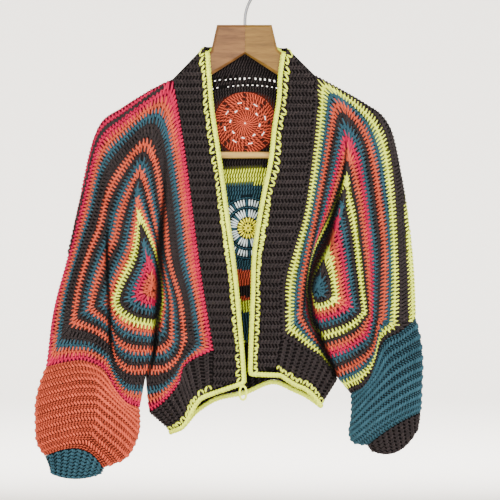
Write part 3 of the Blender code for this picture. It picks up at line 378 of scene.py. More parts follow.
# %% Edges of the bands
# The corded edging down the fronts, and the lower edges of the hem bands: x, z.
ROPE_RADIUS, ROPE_REACH = 3.2, 3.6
ROPE_LINES = {
    "left": ((-58, -113), (-55, -157), (-50, -213), (-41, -273), (-34, -322), (-26, -383),
             (-20, -424), (-14, -473), (-9, -527), (-5, -571), (-1, -626)),
    "right": ((60, -115), (54, -157), (52, -193), (45, -238), (40, -285), (30, -334),
              (21, -383), (15, -424), (12, -498), (10, -547), (8, -613)),
}
HEM_EDGES = {
    "left": ((-49, -637), (-70, -649), (-82, -668), (-94, -689), (-114, -699)),
    "right": ((47, -605), (75, -625), (95, -634), (107, -646), (117, -660)),
    "back": ((-114, -699), (-94, -690), (-78, -672), (-49, -652), (0, -640), (47, -624),
             (75, -636), (95, -645), (117, -660)),
}
# Places along the motifs' front edges between which each panel of the back lies.
FLOWER_PLACES, LOWER_PLACES, ROUND_PLACES = (0.23, 0.78), (0.0, 0.23), (0.78, 0.93)
YOKE_ARCH, NECK_MIDDLE, NECK_SIDE = 26.0, (0.0, -110.0), 12
BAND_POINTS, BAND_COLUMNS = 170, 17    # points down a band's edge, and across every band
PANEL_WIDE, PANEL_HIGH = 61, 41        # points across and down the back's panels


def between(first, second, count):
    """Straight lines from one border to another: first·(1 − s) + second·s."""
    share = np.linspace(0, 1, count)[:, None, None]
    return first[None] * (1 - share) + second[None] * share


def neck_tip(half):
    """Top corner of the front band, where it turns over beside the wood."""
    return np.array(ROPE_LINES[half.side][0]) + (half.out * ROPE_REACH, 0)


def turned_over(half, spot, depth):
    """Depth of the cloth at x, z places, a quarter circle down to the shoulder fold."""
    fold = np.vstack([neck_tip(half), half.outline()])
    gap, _ = nearest(spot, fold)
    full = np.maximum(depth, SHOULDER_DEPTH)
    return np.maximum(full * rounding(gap, SHOULDER_RADIUS + full - SHOULDER_DEPTH), LAYER_GAP / 2)


def back_sheet(spot):
    """Points of the back at x, z places: the depth falls to both shoulder folds."""
    places = np.linspace(0, 1, 40)
    flat = spot.reshape(-1, 2)
    edge = LEFT.border("front", places, False)
    full = np.interp(flat[:, 1], edge[:, 2], LEFT.border_depth(places))
    deep = np.minimum(*[turned_over(half, flat, full) for half in HALVES])
    return np.column_stack([flat[:, 0], deep, flat[:, 1]]).reshape(*spot.shape[:-1], 3)


def band_cloth(half):
    """A front band: rows run down the front, columns from the motif to the corded edge."""
    places = np.linspace(1, 0, BAND_POINTS)
    inner, depth = half.border("front", places), half.border_depth(places)
    foot = np.linspace(0, 1, 21)[1:, None]
    tail = inner[-1] * (1 - foot) + np.insert(HEM_EDGES[half.side][0], 1, inner[-1, 1]) * foot
    inner, depth = np.vstack([inner, tail]), np.append(depth, np.repeat(depth[-1], 20))
    outer = along(ROPE_LINES[half.side], share_of_length(inner[:, ::2]))
    outer[:, 0] += half.out * ROPE_REACH
    flat = between(inner[:, ::2], outer, BAND_COLUMNS).transpose(1, 0, 2)
    deep = turned_over(half, flat.reshape(-1, 2), np.repeat(depth, BAND_COLUMNS)).reshape(flat.shape[:2])
    grid = np.stack([flat[..., 0], -deep, flat[..., 1]], -1)
    grid[:, 0] = inner
    return Cloth(grid, FORWARDS)


def hem_upper(half, front):
    """The motif's edge above a hem band, from the front corner to the fold at the side."""
    return half.border("hem", np.linspace(1, 0.5, 60), front)


def hem_cloth(name):
    """A hem band, turned so that its upright ribs are rows: rows along the hem."""
    if name == "back":
        left, right = hem_upper(LEFT, False), hem_upper(RIGHT, False)
        share = np.linspace(0, 1, 42)[1:-1, None]
        upper = np.vstack([left[::-1], left[0] * (1 - share) + right[0] * share, right])
    else:
        upper = hem_upper(LEFT if name == "left" else RIGHT, True)
    lower = along(HEM_EDGES[name], share_of_length(upper[:, ::2]))
    lower = np.column_stack([lower[:, 0], upper[:, 1], lower[:, 1]])
    grid = between(upper, lower, BAND_COLUMNS).transpose(1, 0, 2)
    return Cloth(grid, BACKWARDS if name == "back" else FORWARDS)


def panel_cloth(places):
    """A panel of the back between the two motifs: rows from its lower edge up."""
    steps = np.linspace(*places, PANEL_WIDE)
    left, right = (half.border("front", steps, False)[:, ::2] for half in HALVES)
    return Cloth(back_sheet(between(left, right, PANEL_WIDE).transpose(1, 0, 2)), BACKWARDS)


def yoke_line(count):
    """The arched seam under the neck piece: a straight line raised by a parabola."""
    left, right = (half.border("front", ROUND_PLACES[1:], False)[0, ::2] for half in HALVES)
    share = np.linspace(0, 1, count)[:, None]
    line = left * (1 - share) + right * share
    line[:, 1] += YOKE_ARCH * (1 - (2 * share[:, 0] - 1) ** 2)
    return line


def round_cloth():
    """The panel with the round motif: rows from its lower edge up to the arched seam."""
    left, right = (half.border("front", ROUND_PLACES[:1], False)[0, ::2] for half in HALVES)
    share = np.linspace(0, 1, PANEL_WIDE)[:, None]
    base, top = left * (1 - share) + right * share, yoke_line(PANEL_WIDE)
    return Cloth(back_sheet(between(base, top, PANEL_HIGH)), BACKWARDS)


def neck_cloth():
    """The neck piece: rows from the arched seam up to the neck's edge and shoulder folds."""
    tips = [neck_tip(half) for half in HALVES]
    neck = along((tips[0], NECK_MIDDLE, tips[1]), np.linspace(0, 1, PANEL_WIDE))
    corners = [half.border("front", [1.0], False)[0, ::2] for half in HALVES]
    rise = np.linspace(0, 1, NECK_SIDE + 1)[:-1, None]
    top = np.vstack([corners[0] * (1 - rise) + tips[0] * rise, neck,
                     (corners[1] * (1 - rise) + tips[1] * rise)[::-1]])
    return Cloth(back_sheet(between(yoke_line(len(top)), top, PANEL_HIGH)), BACKWARDS)


BAND_CLOTH = {half.side: band_cloth(half) for half in HALVES}
HEM_CLOTH = {name: hem_cloth(name) for name in HEM_EDGES}
FLOWER_CLOTH, LOWER_CLOTH = panel_cloth(FLOWER_PLACES), panel_cloth(LOWER_PLACES)
ROUND_CLOTH, NECK_CLOTH = round_cloth(), neck_cloth()
print("front band, mm down:", round(float(np.ptp(BAND_CLOTH["left"].points[..., 2]))))

# %% [markdown]
# ## Lower sleeves and cuffs
# A lower sleeve is a tube, puffed in the middle and gathered into a ribbed cuff.
# Each row of the table is a ring: its outer, middle and inner place seen from the
# front, and half its depth.  A parabola joins the three places, and the depth
# swings out and back round the ring.

# %% Rings of the sleeves
# outer x and z, middle x and z, inner x and z, half depth
SLEEVES = {
    "left": ((-303, -602, -236, -593, -163, -664, 30), (-314, -632, -232, -622, -162, -683, 36),
             (-320, -661, -229, -649, -163, -702, 40), (-320, -690, -231, -677, -170, -723, 40),
             (-318, -718, -238, -703, -184, -743, 34), (-306, -739, -250, -726, -217, -757, 20)),
    "right": ((260, -528, 207, -568, 163, -642, 30), (268, -562, 214, -594, 164, -662, 36),
              (271, -596, 217, -624, 163, -684, 39), (270, -626, 218, -652, 160, -704, 39),
              (269, -654, 219, -676, 166, -718, 34), (268, -672, 226, -691, 187, -722, 20)),
}
CUFFS = {
    "left": ((-305.5, -740, -250, -727, -217.5, -758, 19), (-300, -753, -255, -748, -219, -762, 19),
             (-297, -765, -260, -772, -223, -767, 20)),
    "right": ((268, -673, 226, -692, 187.5, -723, 19), (267, -684, 229, -709, 190, -726, 19),
              (265, -694, 233, -730, 194, -731, 20)),
}
SLEEVE_FADE = 0.45       # how far down the sleeve the motif's own edge is felt
SLEEVE_GRID, CUFF_GRID = (120, 61), (137, 13)       # points round and down


def sleeve_rings(table, around, down):
    """Rings of a tube: a parabola across, and depth = half depth × a half circle's height."""
    table = np.asarray(table, float)
    rows = curve(np.linspace(0, 1, len(table)), table, down)[:, None]
    place = np.where(around <= 0.5, around, 1 - around)
    s = (2 * place)[None, :, None]
    outer, middle, inner = rows[..., 0:2], rows[..., 2:4], rows[..., 4:6]
    flat = outer * (1 - s) * (1 - 2 * s) + middle * 4 * s * (1 - s) + inner * s * (2 * s - 1)
    swing = np.sqrt(np.clip(1 - (4 * place - 1) ** 2, 0, 1))[None] * rows[..., 6]
    return np.stack([flat[..., 0], np.where(around <= 0.5, -swing, swing), flat[..., 1]], -1)


def from_axis(points):
    """Directions out of a tube, from the middle of each ring."""
    return points - points.mean(axis=1, keepdims=True)


def sleeve_cloth(half):
    """A lower sleeve, once round: its first ring is the motif's own edge."""
    around = np.arange(SLEEVE_GRID[0]) / SLEEVE_GRID[0]
    down = np.linspace(0, 1, SLEEVE_GRID[1])
    grid = sleeve_rings(SLEEVES[half.side], around, down)
    place = np.where(around <= 0.5, around, 1 - around)
    end = np.where((around <= 0.5)[:, None], half.border("end", place, True),
                   half.border("end", place, False))
    fade = np.clip(1 - down / SLEEVE_FADE, 0, 1) ** 2
    grid += (end - grid[0])[None] * fade[:, None, None]
    return Cloth(grid, from_axis(grid), closed=True)


def cuff_cloth(half):
    """A cuff, turned so that its upright ribs are rows; the last rib meets the first."""
    around, down = (np.linspace(0, 1, count) for count in CUFF_GRID)
    grid = sleeve_rings(CUFFS[half.side], around, down)
    return Cloth(grid.transpose(1, 0, 2), from_axis(grid).transpose(1, 0, 2))


SLEEVE_CLOTH = {half.side: sleeve_cloth(half) for half in HALVES}
CUFF_CLOTH = {half.side: cuff_cloth(half) for half in HALVES}
print("left sleeve, mm round at the widest:",
      round(float(np.linalg.norm(np.diff(SLEEVE_CLOTH["left"].points[30], axis=0), axis=1).sum())))


# %% [markdown]
# ## Yarn colours
# Six colours of matt yarn come back all over the garment.  They are kept by
# name, as a maker keeps them, in the screen values that a colour picker shows,
# and turned into the light values that a shader wants.

# %% Yarn
def light(red, green, blue):
    """Screen values (0 to 255) as linear light: ((v + 0.055) / 1.055) to the power 2.4."""
    screen = np.array([red, green, blue]) / 255
    return np.where(screen <= 0.04045, screen / 12.92, ((screen + 0.055) / 1.055) ** 2.4)


YARN = {
    "charcoal": light(48, 42, 43),
    "coral": light(200, 84, 60),
    "pink": light(190, 22, 72),
    "teal": light(48, 82, 96),
    "lemon": light(240, 255, 76),
    "yellow": light(250, 240, 30),
    "white": light(232, 246, 250),
}
LEFT_ROUNDS = ("coral", "pink", "teal", "charcoal", "lemon", "coral", "teal", "charcoal", "coral",
               "teal", "charcoal", "coral", "charcoal", "charcoal", "teal", "coral", "pink")
RIGHT_ROUNDS = ("teal", "charcoal", "lemon", "coral", "pink", "teal", "charcoal", "lemon", "charcoal",
                "coral", "pink", "teal", "charcoal", "coral", "teal", "lemon", "charcoal")
ROUNDS = {"left": LEFT_ROUNDS, "right": RIGHT_ROUNDS}
ROUND_COUNT = len(LEFT_ROUNDS)
print("rounds:", ROUND_COUNT, "yarns:", ", ".join(YARN))

# %% [markdown]
# ## A strand of yarn
# Close to, crochet is short lengths of yarn that bulge and then dive into the
# cloth.  Each is modelled as a closed strand: three rings of four points along a
# line on the cloth, and a point at each tip, where it dives.  Smooth shading makes
# it round.  All the strands of a piece are one mesh, because they share one small
# pattern of faces.

# %% Strand maker
RINGS, SIDES = 3, 4
TURNS = np.arange(SIDES) * 2 * np.pi / SIDES
SPOTS = np.array([0, 0.16, 0.5, 0.84, 1])          # where a strand's tips and rings are along it
DIVE = np.array([0.2, 1, 1, 1, 0.2])               # share of the lift that each of them has
FULL = np.array([0.98, 1.14, 0.98])                # swelling of a plain strand's rings


def spread(start, end):
    """Values from start to end at the tips and rings of a strand."""
    return (start + (end - start) * SPOTS)[None]


def strand(cloth, rows, columns, lift, wide, thick, swelling=FULL):
    """Strands whose centre lines are rows of places on the cloth.

    Each ring is centre + wide·cos(turn)·side + thick·sin(turn)·up, where up leaves
    the cloth and side lies along it, square to the strand.
    """
    points, up = cloth.at(rows, columns)
    centre = points + up * (DIVE * np.broadcast_to(lift, rows.shape))[..., None]
    run = unit(np.gradient(centre, axis=1))
    side = unit(np.cross(up, run))
    up, side = np.cross(run, side)[:, 1:-1, None], side[:, 1:-1, None]
    wide, thick = ((swelling * size)[:, None, None] for size in (wide, thick))
    ring = centre[:, 1:-1, None] + (np.cos(TURNS)[:, None] * side * wide
                                    + np.sin(TURNS)[:, None] * up * thick)
    return np.concatenate([ring.reshape(len(rows), -1, 3), centre[:, [0, -1]]], axis=1)


def strand_pattern():
    """Corner numbers and corner places (turns round, share along) of one strand's faces."""
    corners, places = [], []
    for ring in range(RINGS - 1):
        here, there = SPOTS[ring + 1:ring + 3]
        for k in range(SIDES):
            a, b = ring * SIDES + k, ring * SIDES + (k + 1) % SIDES
            corners += [a, a + SIDES, b + SIDES, b]
            places += [(k, here), (k, there), (k + 1, there), (k + 1, here)]
    first, last, end = RINGS * SIDES, RINGS * SIDES + 1, (RINGS - 1) * SIDES
    for k in range(SIDES):
        following = (k + 1) % SIDES
        corners += [first, k, following, last, end + following, end + k]
        places += [(k + 0.5, 0), (k, SPOTS[1]), (k + 1, SPOTS[1]),
                   (k + 0.5, 1), (k + 1, SPOTS[-2]), (k, SPOTS[-2])]
    sizes = [4] * (SIDES * (RINGS - 1)) + [3] * (2 * SIDES)
    return np.array(corners), np.array(places, float) / (SIDES, 1), np.array(sizes)


CORNERS, CORNER_PLACES, FACE_SIZES = strand_pattern()
print("faces in a strand:", len(FACE_SIZES), "triangles:", int((FACE_SIZES - 2).sum()))


# %% [markdown]
# ## Working the rows
# Stitches are spaced evenly along each row, so a long round has more of them than
# a short one.  A recipe lists the strands of one stitch.  Each strand starts and
# ends some rows up and some stitches along from the stitch's own place.

# %% Stitch recipes
# start row, start stitch, end row, end stitch, half width, half thickness, lift, swelling, tone
FOOT = (-0.36, 0.25, 0.72, 0.25, 1.40, 1.7, 0.7, FULL, 1.0)
HEAD = (0.28, 0.75, 1.30, 0.75, 1.40, 1.6, 0.7, FULL, 1.06)
GRANNY = (FOOT, HEAD)
# the last column paints a ridge's strands lighter and a furrow's darker: painted light and shade
RIDGE = ((-0.08, -0.50, 0.46, 0.50, 1.45, 1.6, 1.4, FULL, 1.10),
         (0.46, -0.38, 0.96, 0.62, 1.45, 1.5, 0.8, FULL, 1.0))
FURROW = ((-0.04, 0.46, 1.04, -0.46, 1.5, 1.4, -0.1, FULL, 0.88),)
TONE_SPREAD, ROW_SPREAD = 0.09, 0.04


class Worked:
    """Strands of one piece as they are worked, with the colour of each."""

    def __init__(self, seed):
        self.random = np.random.default_rng(seed)
        self.strands, self.colours = [], []

    def add(self, strands, colours, tone=1.0):
        """Keep strands with their colours, each a little lighter or darker than the next."""
        count = len(strands)
        uneven = 1 + TONE_SPREAD * self.random.standard_normal(count).clip(-2, 2)
        self.strands.append(strands)
        self.colours.append(np.broadcast_to(colours, (count, 3)) * (tone * uneven)[:, None])

    def row(self, cloth, row_place, row, recipe, colour, pitch=None, count=None, lean=None, keep=None):
        """One row of stitches, of a given pitch or count.

        row_place gives the grid row of a row of crochet at each column.  The stitch
        numbers run evenly along the middle of the row.  lean gives two numbers at each
        column: the tangent of the angle between a strand and the way square across the
        row, and how far this counts (1) or the grid's own slanting lines do (0).
        """
        columns = np.linspace(0, cloth.last_column(), 4 * cloth.columns)
        line, _ = cloth.at(row_place(row + 0.5, columns), columns)
        length = np.concatenate([[0], np.cumsum(np.linalg.norm(np.diff(line, axis=0), axis=1))])
        count = count or max(3, int(round(length[-1] / pitch)))
        ends = [cloth.at(row_place(row + rise, columns), columns)[0] for rise in (0, 1)]
        across, run = ends[1] - ends[0], unit(np.gradient(line, axis=0))
        drift = (across * run).sum(axis=1)
        height = np.sqrt(np.maximum((across ** 2).sum(axis=1) - drift ** 2, 0))
        tone = 1 + ROW_SPREAD * self.random.standard_normal()
        number = np.arange(count)[:, None] + 0.5
        for start_row, start, end_row, end, wide, thick, lift, swelling, shade in recipe:
            rise = spread(start_row, end_row)
            place = number + spread(start, end)
            if lean is not None:
                home = np.interp(number / count * length[-1], length, columns)
                tangent, square = lean(home)
                shift = (tangent * np.interp(home, columns, height)
                         - square * np.interp(home, columns, drift))
                place = place + (rise - 0.5) * np.clip(shift / (length[-1] / count), -3, 3)
            share = place / count
            if cloth.closed:
                share = share - np.floor(share)
            column = np.interp(share * length[-1], length, columns)
            rows = np.broadcast_to(row_place(row + rise, column), column.shape)
            made = strand(cloth, rows, column, lift, wide, thick, swelling)
            chosen = np.ones(len(made), bool) if keep is None else keep(rows, column, made)
            shades = colour(made) if callable(colour) else colour
            shades = np.broadcast_to(shades, (count, 3))
            if chosen.any():
                self.add(made[chosen], shades[chosen], tone * shade)


def even_rows(cloth, count):
    """Row places for a piece whose rows of crochet share its height evenly."""
    return lambda row, columns: np.asarray(row) * (cloth.rows - 1) / count


def level_rows(cloth, height):
    """Rows of crochet that lie level, and their number.

    A table holds, for every millimetre of height, the grid row where each column
    passes it, and is read in between by weighted means.
    """
    heights = cloth.points[..., 2]
    levels = np.arange(heights.max(), heights.min() - 1, -1.0)
    table = np.column_stack([np.interp(-levels, -column, np.arange(cloth.rows)) for column in heights.T])

    def row_place(number, columns):
        level, place = np.broadcast_arrays(np.asarray(number, float) * height, columns)
        level, place = np.clip(level, 0, len(levels) - 1.001), np.clip(place, 0, cloth.columns - 1.001)
        k, c = np.floor(level).astype(int), np.floor(place).astype(int)
        s, t = level - k, place - c
        return ((table[k, c] * (1 - t) + table[k, c + 1] * t) * (1 - s)
                + (table[k + 1, c] * (1 - t) + table[k + 1, c + 1] * t) * s)
    return row_place, int(len(levels) / height)


def length_down(cloth):
    """Mean length in millimetres down the columns of a piece."""
    return np.linalg.norm(np.diff(cloth.points, axis=0), axis=2).sum(0).mean()


print("strands in a granny stitch:", len(GRANNY))

# %% [markdown]
# ## Yarn as a material
# Wool yarn is matt, with a soft sheen where fibres stand off it.  The colour comes
# from an attribute of the mesh, one colour for each strand.  Fine noise breaks it
# up, as fibres do.  The plies of the yarn wind round the strand, and the strand's
# own map (turns round, length along) lets a sine wave follow them as bump.

# %% Yarn material
PLIES, PLY_TURNS = 3, 2.2


def new_material(name):
    """A new material, its node tree and its shader."""
    made = bpy.data.materials.new(name)
    made.use_nodes = True
    return made, made.node_tree, made.node_tree.nodes["Principled BSDF"]


def set_inputs(item, values):
    """Constant values for sockets of a node."""
    for name, value in values.items():
        item.inputs[name].default_value = value


def node(tree, kind, inputs=None, **settings):
    """A shader node with its settings and input values."""
    made = tree.nodes.new(kind)
    for name, value in settings.items():
        setattr(made, name, value)
    set_inputs(made, inputs or {})
    return made


def noise_node(tree, place, **inputs):
    """Noise read at a vector socket, with values for Scale, Detail and the like."""
    made = node(tree, "ShaderNodeTexNoise", inputs)
    tree.links.new(place, made.inputs["Vector"])
    return made.outputs["Fac"]


def bump_node(tree, shader, height, distance, strength):
    """A height socket as bump on a shader."""
    bump = node(tree, "ShaderNodeBump", {"Distance": distance, "Strength": strength})
    tree.links.new(height, bump.inputs["Height"])
    tree.links.new(bump.outputs[0], shader.inputs["Normal"])


def combine(tree, operation, first, second):
    """One sum or product of two numbers or sockets."""
    made = node(tree, "ShaderNodeMath", operation=operation)
    for socket, value in zip(made.inputs, (first, second)):
        if isinstance(value, bpy.types.NodeSocket):
            tree.links.new(value, socket)
        else:
            socket.default_value = value
    return made.outputs[0]


def yarn_material(name, sheen=0.02, ply=0.0004, fibre=0.00012, stranded=True):
    """Matt yarn: the strand's colour × fibre noise, with plies and fibres as bump."""
    made, tree, shader = new_material(name)
    set_inputs(shader, {"Roughness": 0.95, "Sheen Weight": sheen, "Sheen Roughness": 0.55,
                        "Specular IOR Level": 0.08})
    place = node(tree, "ShaderNodeTexCoord")
    fibres = noise_node(tree, place.outputs["Object"], Scale=700.0, Detail=3.0, Roughness=0.6)
    broad = noise_node(tree, place.outputs["Object"], Scale=22.0, Detail=2.0)
    level = combine(tree, "ADD", combine(tree, "MULTIPLY", fibres, 0.55),
                    combine(tree, "MULTIPLY", broad, 0.35))
    level = combine(tree, "ADD", level, 0.55)
    colour = node(tree, "ShaderNodeVertexColor", layer_name="yarn")
    mix = node(tree, "ShaderNodeVectorMath", operation="SCALE")
    tree.links.new(colour.outputs["Color"], mix.inputs[0])
    tree.links.new(level, mix.inputs["Scale"])
    tree.links.new(mix.outputs[0], shader.inputs["Base Color"])
    height = combine(tree, "MULTIPLY", fibres, fibre * 2)
    if stranded:
        apart = node(tree, "ShaderNodeSeparateXYZ")
        tree.links.new(place.outputs["UV"], apart.inputs[0])
        turn = combine(tree, "ADD", combine(tree, "MULTIPLY", apart.outputs["X"], PLIES * 2 * np.pi),
                       combine(tree, "MULTIPLY", apart.outputs["Y"], PLY_TURNS * 2 * np.pi))
        wave = combine(tree, "MULTIPLY", combine(tree, "SINE", turn, 0.0), ply / 2)
        height = combine(tree, "ADD", height, wave)
    bump_node(tree, shader, height, 1.0, 1.0)
    return made


SLOTS = ("granny_crochet", "charcoal_crochet", "coral_crochet", "teal_crochet", "lemon_crochet")
YARN_MATERIAL = {slot: yarn_material(slot.replace("crochet", "yarn")) for slot in SLOTS}
GROUND_MATERIAL = {slot: yarn_material(slot.replace("crochet", "ground"), 0.0, stranded=False)
                   for slot in SLOTS}
print("yarn materials:", len(YARN_MATERIAL))


# %% [markdown]
# ## Ground and stitches as objects
# The ground is the cloth that shows dark between the strands.  It is a thin sheet
# with a Solidify modifier, and it is what stands for the solid.  Its dark is painted
# shade: the yarn's colour times GROUND_SHADE, for the shade in the gaps between
# strands.  The stitches lie on it as a second object.

# %% Object makers
# GROUND_SHADE is painted shade: the share of the yarn's colour left on the ground sheet
GROUND_THICKNESS, GROUND_SHADE = 1.2, 0.10
made_pieces = {}
# Painted shade in the deep creases of the fronts, where hardly any light falls: colours there are darkened.
# x, z, half width and how dark.
CREASES = (
    ((-122, -262, 1, 0.0), (-122, -290, 2, 0.5), (-122, -330, 3, 0.9), (-125, -370, 5, 1.0),
     (-129, -410, 7, 1.0), (-130, -456, 8, 1.0), (-131, -503, 7.5, 1.0), (-135, -549, 6.5, 1.0),
     (-140, -590, 4, 1.0), (-149, -618, 2.5, 0.8)),
    ((-207, -372, 1, 0.0), (-209, -400, 2.4, 0.9), (-209, -470, 3.2, 1.0), (-206, -530, 3.4, 1.0),
     (-203, -575, 3, 0.9), (-198, -600, 1.5, 0.0)),
    ((154, -258, 1, 0.8), (153, -284, 1.6, 1.0), (148, -318, 3, 1.0), (140, -350, 5, 1.0),
     (133, -377, 7, 1.0), (124, -409, 10, 1.0), (109, -444, 10, 1.0), (99, -479, 9, 1.0),
     (99, -510, 9, 1.0), (103, -530, 9, 1.0), (111, -550, 7.5, 1.0), (119, -573, 7.5, 1.0),
     (130, -596, 7, 1.0), (139, -617, 5, 1.0)),
)
CREASE_LINES = [along(crease, np.linspace(0, 1, 40)) for crease in CREASES]
CREASE_SHADE, CREASE_REACH = 0.985, 60


def painted_crease_shade(points):
    """Painted shade: share of the colour left at each point of the fronts, less in each crease that is near.

    It is 1 − shade·dark·exp(−(distance / half width)⁴).
    """
    flat = points.reshape(-1, 3)
    left = np.ones(len(flat))
    for line in CREASE_LINES:
        near = np.flatnonzero((flat[:, 1] < 0) & (np.abs(flat[:, 0] - line[:, 0].mean()) < CREASE_REACH))
        gap, found = nearest(flat[near][:, ::2], line)
        left[near] *= 1 - CREASE_SHADE * found[:, 1] * np.exp(-(gap / np.maximum(found[:, 0], 0.5)) ** 4)
    return left.reshape(points.shape[:-1] + (1,))


def grid_faces(rows, columns, closed):
    """Corner numbers of a grid's quads; a closed grid joins its last column to its first."""
    row, column = np.meshgrid(np.arange(rows - 1), np.arange(columns if closed else columns - 1),
                              indexing="ij")
    following = (column + 1) % columns
    return np.stack([row * columns + column, row * columns + following,
                     (row + 1) * columns + following, (row + 1) * columns + column], -1).reshape(-1, 4)


def add_object(name, data):
    """A new object in the scene."""
    item = bpy.data.objects.new(name, data)
    bpy.context.scene.collection.objects.link(item)
    return item


def add_piece(name, mesh, material):
    """A smooth object that rides on the body."""
    mesh.materials.append(material)
    mesh.shade_smooth()
    item = add_object(name, mesh)
    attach(item, "root")
    made_pieces[name] = item
    return item


def colour_points(mesh, colours):
    """Yarn colours, with any painted shade in them, one at each point of a mesh or one for all of them."""
    layer = mesh.color_attributes.new("yarn", "FLOAT_COLOR", "POINT")
    opaque = np.ones((len(mesh.vertices), 4), np.float32)
    opaque[:, :3] = colours
    layer.data.foreach_set("color", opaque.ravel())


def new_piece(name, points, faces, material, colours=None):
    """A piece from points in millimetres and faces, with yarn colours if it has them."""
    mesh = bpy.data.meshes.new(name)
    mesh.from_pydata((np.asarray(points) * MM).tolist(), [], faces)
    if colours is not None:
        colour_points(mesh, colours)
    return add_piece(name, mesh, material)


def ground(name, cloth, slot, colours, every=(2, 2), pole=False, dropped=None):
    """The thin sheet under the stitches, from every second point of the cloth's grid, or all.

    With a pole, the grid's first row is one point.  dropped says which faces, by their
    middles, are left out.
    """
    picked_rows = np.unique(np.append(np.arange(0, cloth.rows, every[0]), cloth.rows - 1))
    picked = np.arange(0, cloth.columns, every[1])
    if not cloth.closed:
        picked = np.unique(np.append(picked, cloth.columns - 1))
    points = cloth.points[np.ix_(picked_rows, picked)]
    faces = grid_faces(*points.shape[:2], cloth.closed)
    if dropped is not None:
        flat = points.reshape(-1, 3)
        faces = faces[~dropped(flat[faces].mean(axis=1))]
    if not cloth.flipped:
        faces = faces[:, ::-1]
    tints = np.broadcast_to(colours(points) if callable(colours) else colours, points.shape)
    points, tints = points.reshape(-1, 3), tints.reshape(-1, 3)
    if pole:
        faces = np.where(faces < len(picked), 0, faces)
    used, faces = np.unique(faces, return_inverse=True)
    faces = faces.reshape(-1, 4)
    corners = [list(dict.fromkeys(face)) for face in faces.tolist()]
    # painted shade: the ground takes the yarn's colour times GROUND_SHADE, darker still in the creases
    item = new_piece(name + "_ground", points[used], corners, GROUND_MATERIAL[slot],
                     tints[used] * painted_crease_shade(points[used]) * GROUND_SHADE)
    wall = item.modifiers.new("wall", "SOLIDIFY")
    wall.thickness, wall.offset = GROUND_THICKNESS * MM, 0
    return item


def stitches(name, worked, slot):
    """One mesh from all the strands of a piece."""
    strands = np.concatenate(worked.strands)
    count, size = strands.shape[:2]
    corners = (CORNERS[None] + np.arange(count)[:, None] * size).ravel()
    sizes = np.tile(FACE_SIZES, count)
    mesh = bpy.data.meshes.new(name + "_stitches")
    mesh.vertices.add(count * size)
    mesh.vertices.foreach_set("co", (strands * MM).astype(np.float32).ravel())
    mesh.loops.add(len(corners))
    mesh.loops.foreach_set("vertex_index", corners.astype(np.int32))
    mesh.polygons.add(len(sizes))
    starts = np.concatenate([[0], np.cumsum(sizes)[:-1]])
    mesh.polygons.foreach_set("loop_start", starts.astype(np.int32))
    mesh.update(calc_edges=True)
    mesh.validate()
    plies = mesh.uv_layers.new(name="along_yarn")
    plies.data.foreach_set("uv", np.tile(CORNER_PLACES, (count, 1)).astype(np.float32).ravel())
    # painted shade: the strands' colours are darkened in the creases
    colours = np.concatenate(worked.colours)[:, None] * painted_crease_shade(strands)
    colour_points(mesh, colours.reshape(-1, 3))
    print(name, "strands:", count, "triangles:", int((sizes - 2).sum()))
    return add_piece(name + "_stitches", mesh, YARN_MATERIAL[slot])


def finish_cloth(name, cloth, slot, worked, colours, rests_on, **ground_settings):
    """Make a piece's ground and stitches and hide its solid."""
    base = ground(name, cloth, slot, colours, **ground_settings)
    top = stitches(name, worked, slot)
    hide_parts(name)


# %% [markdown]
# ## The granny rounds
# A round of this motif is tall slanted posts, two to each space of the round
# before, whose feet reach down into it.  The rounds are set out along each ray by
# number.  Where the cloth rolls over the shoulder, the round numbers shift, so
# that one layer's last rounds show on the other.

# %% Stitch the motifs
ROUND_PITCH = 5.8
SPOKES, SPOKE_STRAND = 11, (1.6, 1.6, 1.2)          # strands over the eye: lift, half width, half thickness
# place along the shoulder, and how many rounds of the back roll over to the front
ROLLS = {
    "left": ((0.0, 0.1), (0.05, 0.7), (0.12, 1.0), (0.4, 1.0), (0.62, 0.4), (0.75, 0.0), (1.0, 0.0)),
    "right": ((0.0, -0.6), (0.17, -0.4), (0.333, 0.1), (0.5, 0.7), (0.667, 1.7), (0.75, 2.0), (1.0, 2.0)),
}
# tangent of the strands' lean along their round, on each side; towards the neck on both sides
LEANS = {"left": {"hem": 0.0, "front": 0.70, "shoulder": -0.2, "end": 0.0},
         "right": {"hem": 0.0, "front": 0.12, "shoulder": -0.52, "end": 0.0}}
# Near a corner, columns over which the lean changes, and over which the grid's own lines take over.
LEAN_CHANGE, LEAN_FADE = 8, 14
# The seam near the left shoulder: stitches, share of the shoulder, rounds up and down, strand.
SEAM_COUNT, SEAM_REACH, SEAM_RISE, SEAM_STRAND = 40, 0.66, 0.26, (2.6, 1.6, 1.4)


def side_columns(name):
    """First and last column of one side of the motif."""
    number = list(SIDE_PLACES).index(name)
    return SIDE_ENDS[number], SIDE_ENDS[number + 1]


def roll_of(half, columns):
    """Rounds rolled over at each column; none off the shoulder."""
    first, last = side_columns("shoulder")
    places, rolls = np.array(ROLLS[half.side]).T
    value = np.interp((columns - first) / (last - first), places, rolls)
    edge = np.clip(np.minimum(columns - first, last - columns) / 6 + 1, 0, 1)
    return value * edge


def motif_rows(half, front):
    """Grid row of a round number: round = 17·ray + roll·(outer part of the ray)."""
    inner = half.rounds[2]
    ray_rows = np.arange(len(RAY_PLACES)) + 1

    def row_place(number, columns):
        number, columns = np.broadcast_arrays(np.asarray(number, float), columns)
        roll = roll_of(half, columns) * (1 if front else -1)
        plain = number / ROUND_COUNT
        rolled = (number + roll * inner / (1 - inner)) / (ROUND_COUNT + roll / (1 - inner))
        ray = np.where(plain <= inner, plain, rolled)
        return np.interp(ray, RAY_PLACES, ray_rows)
    return row_place


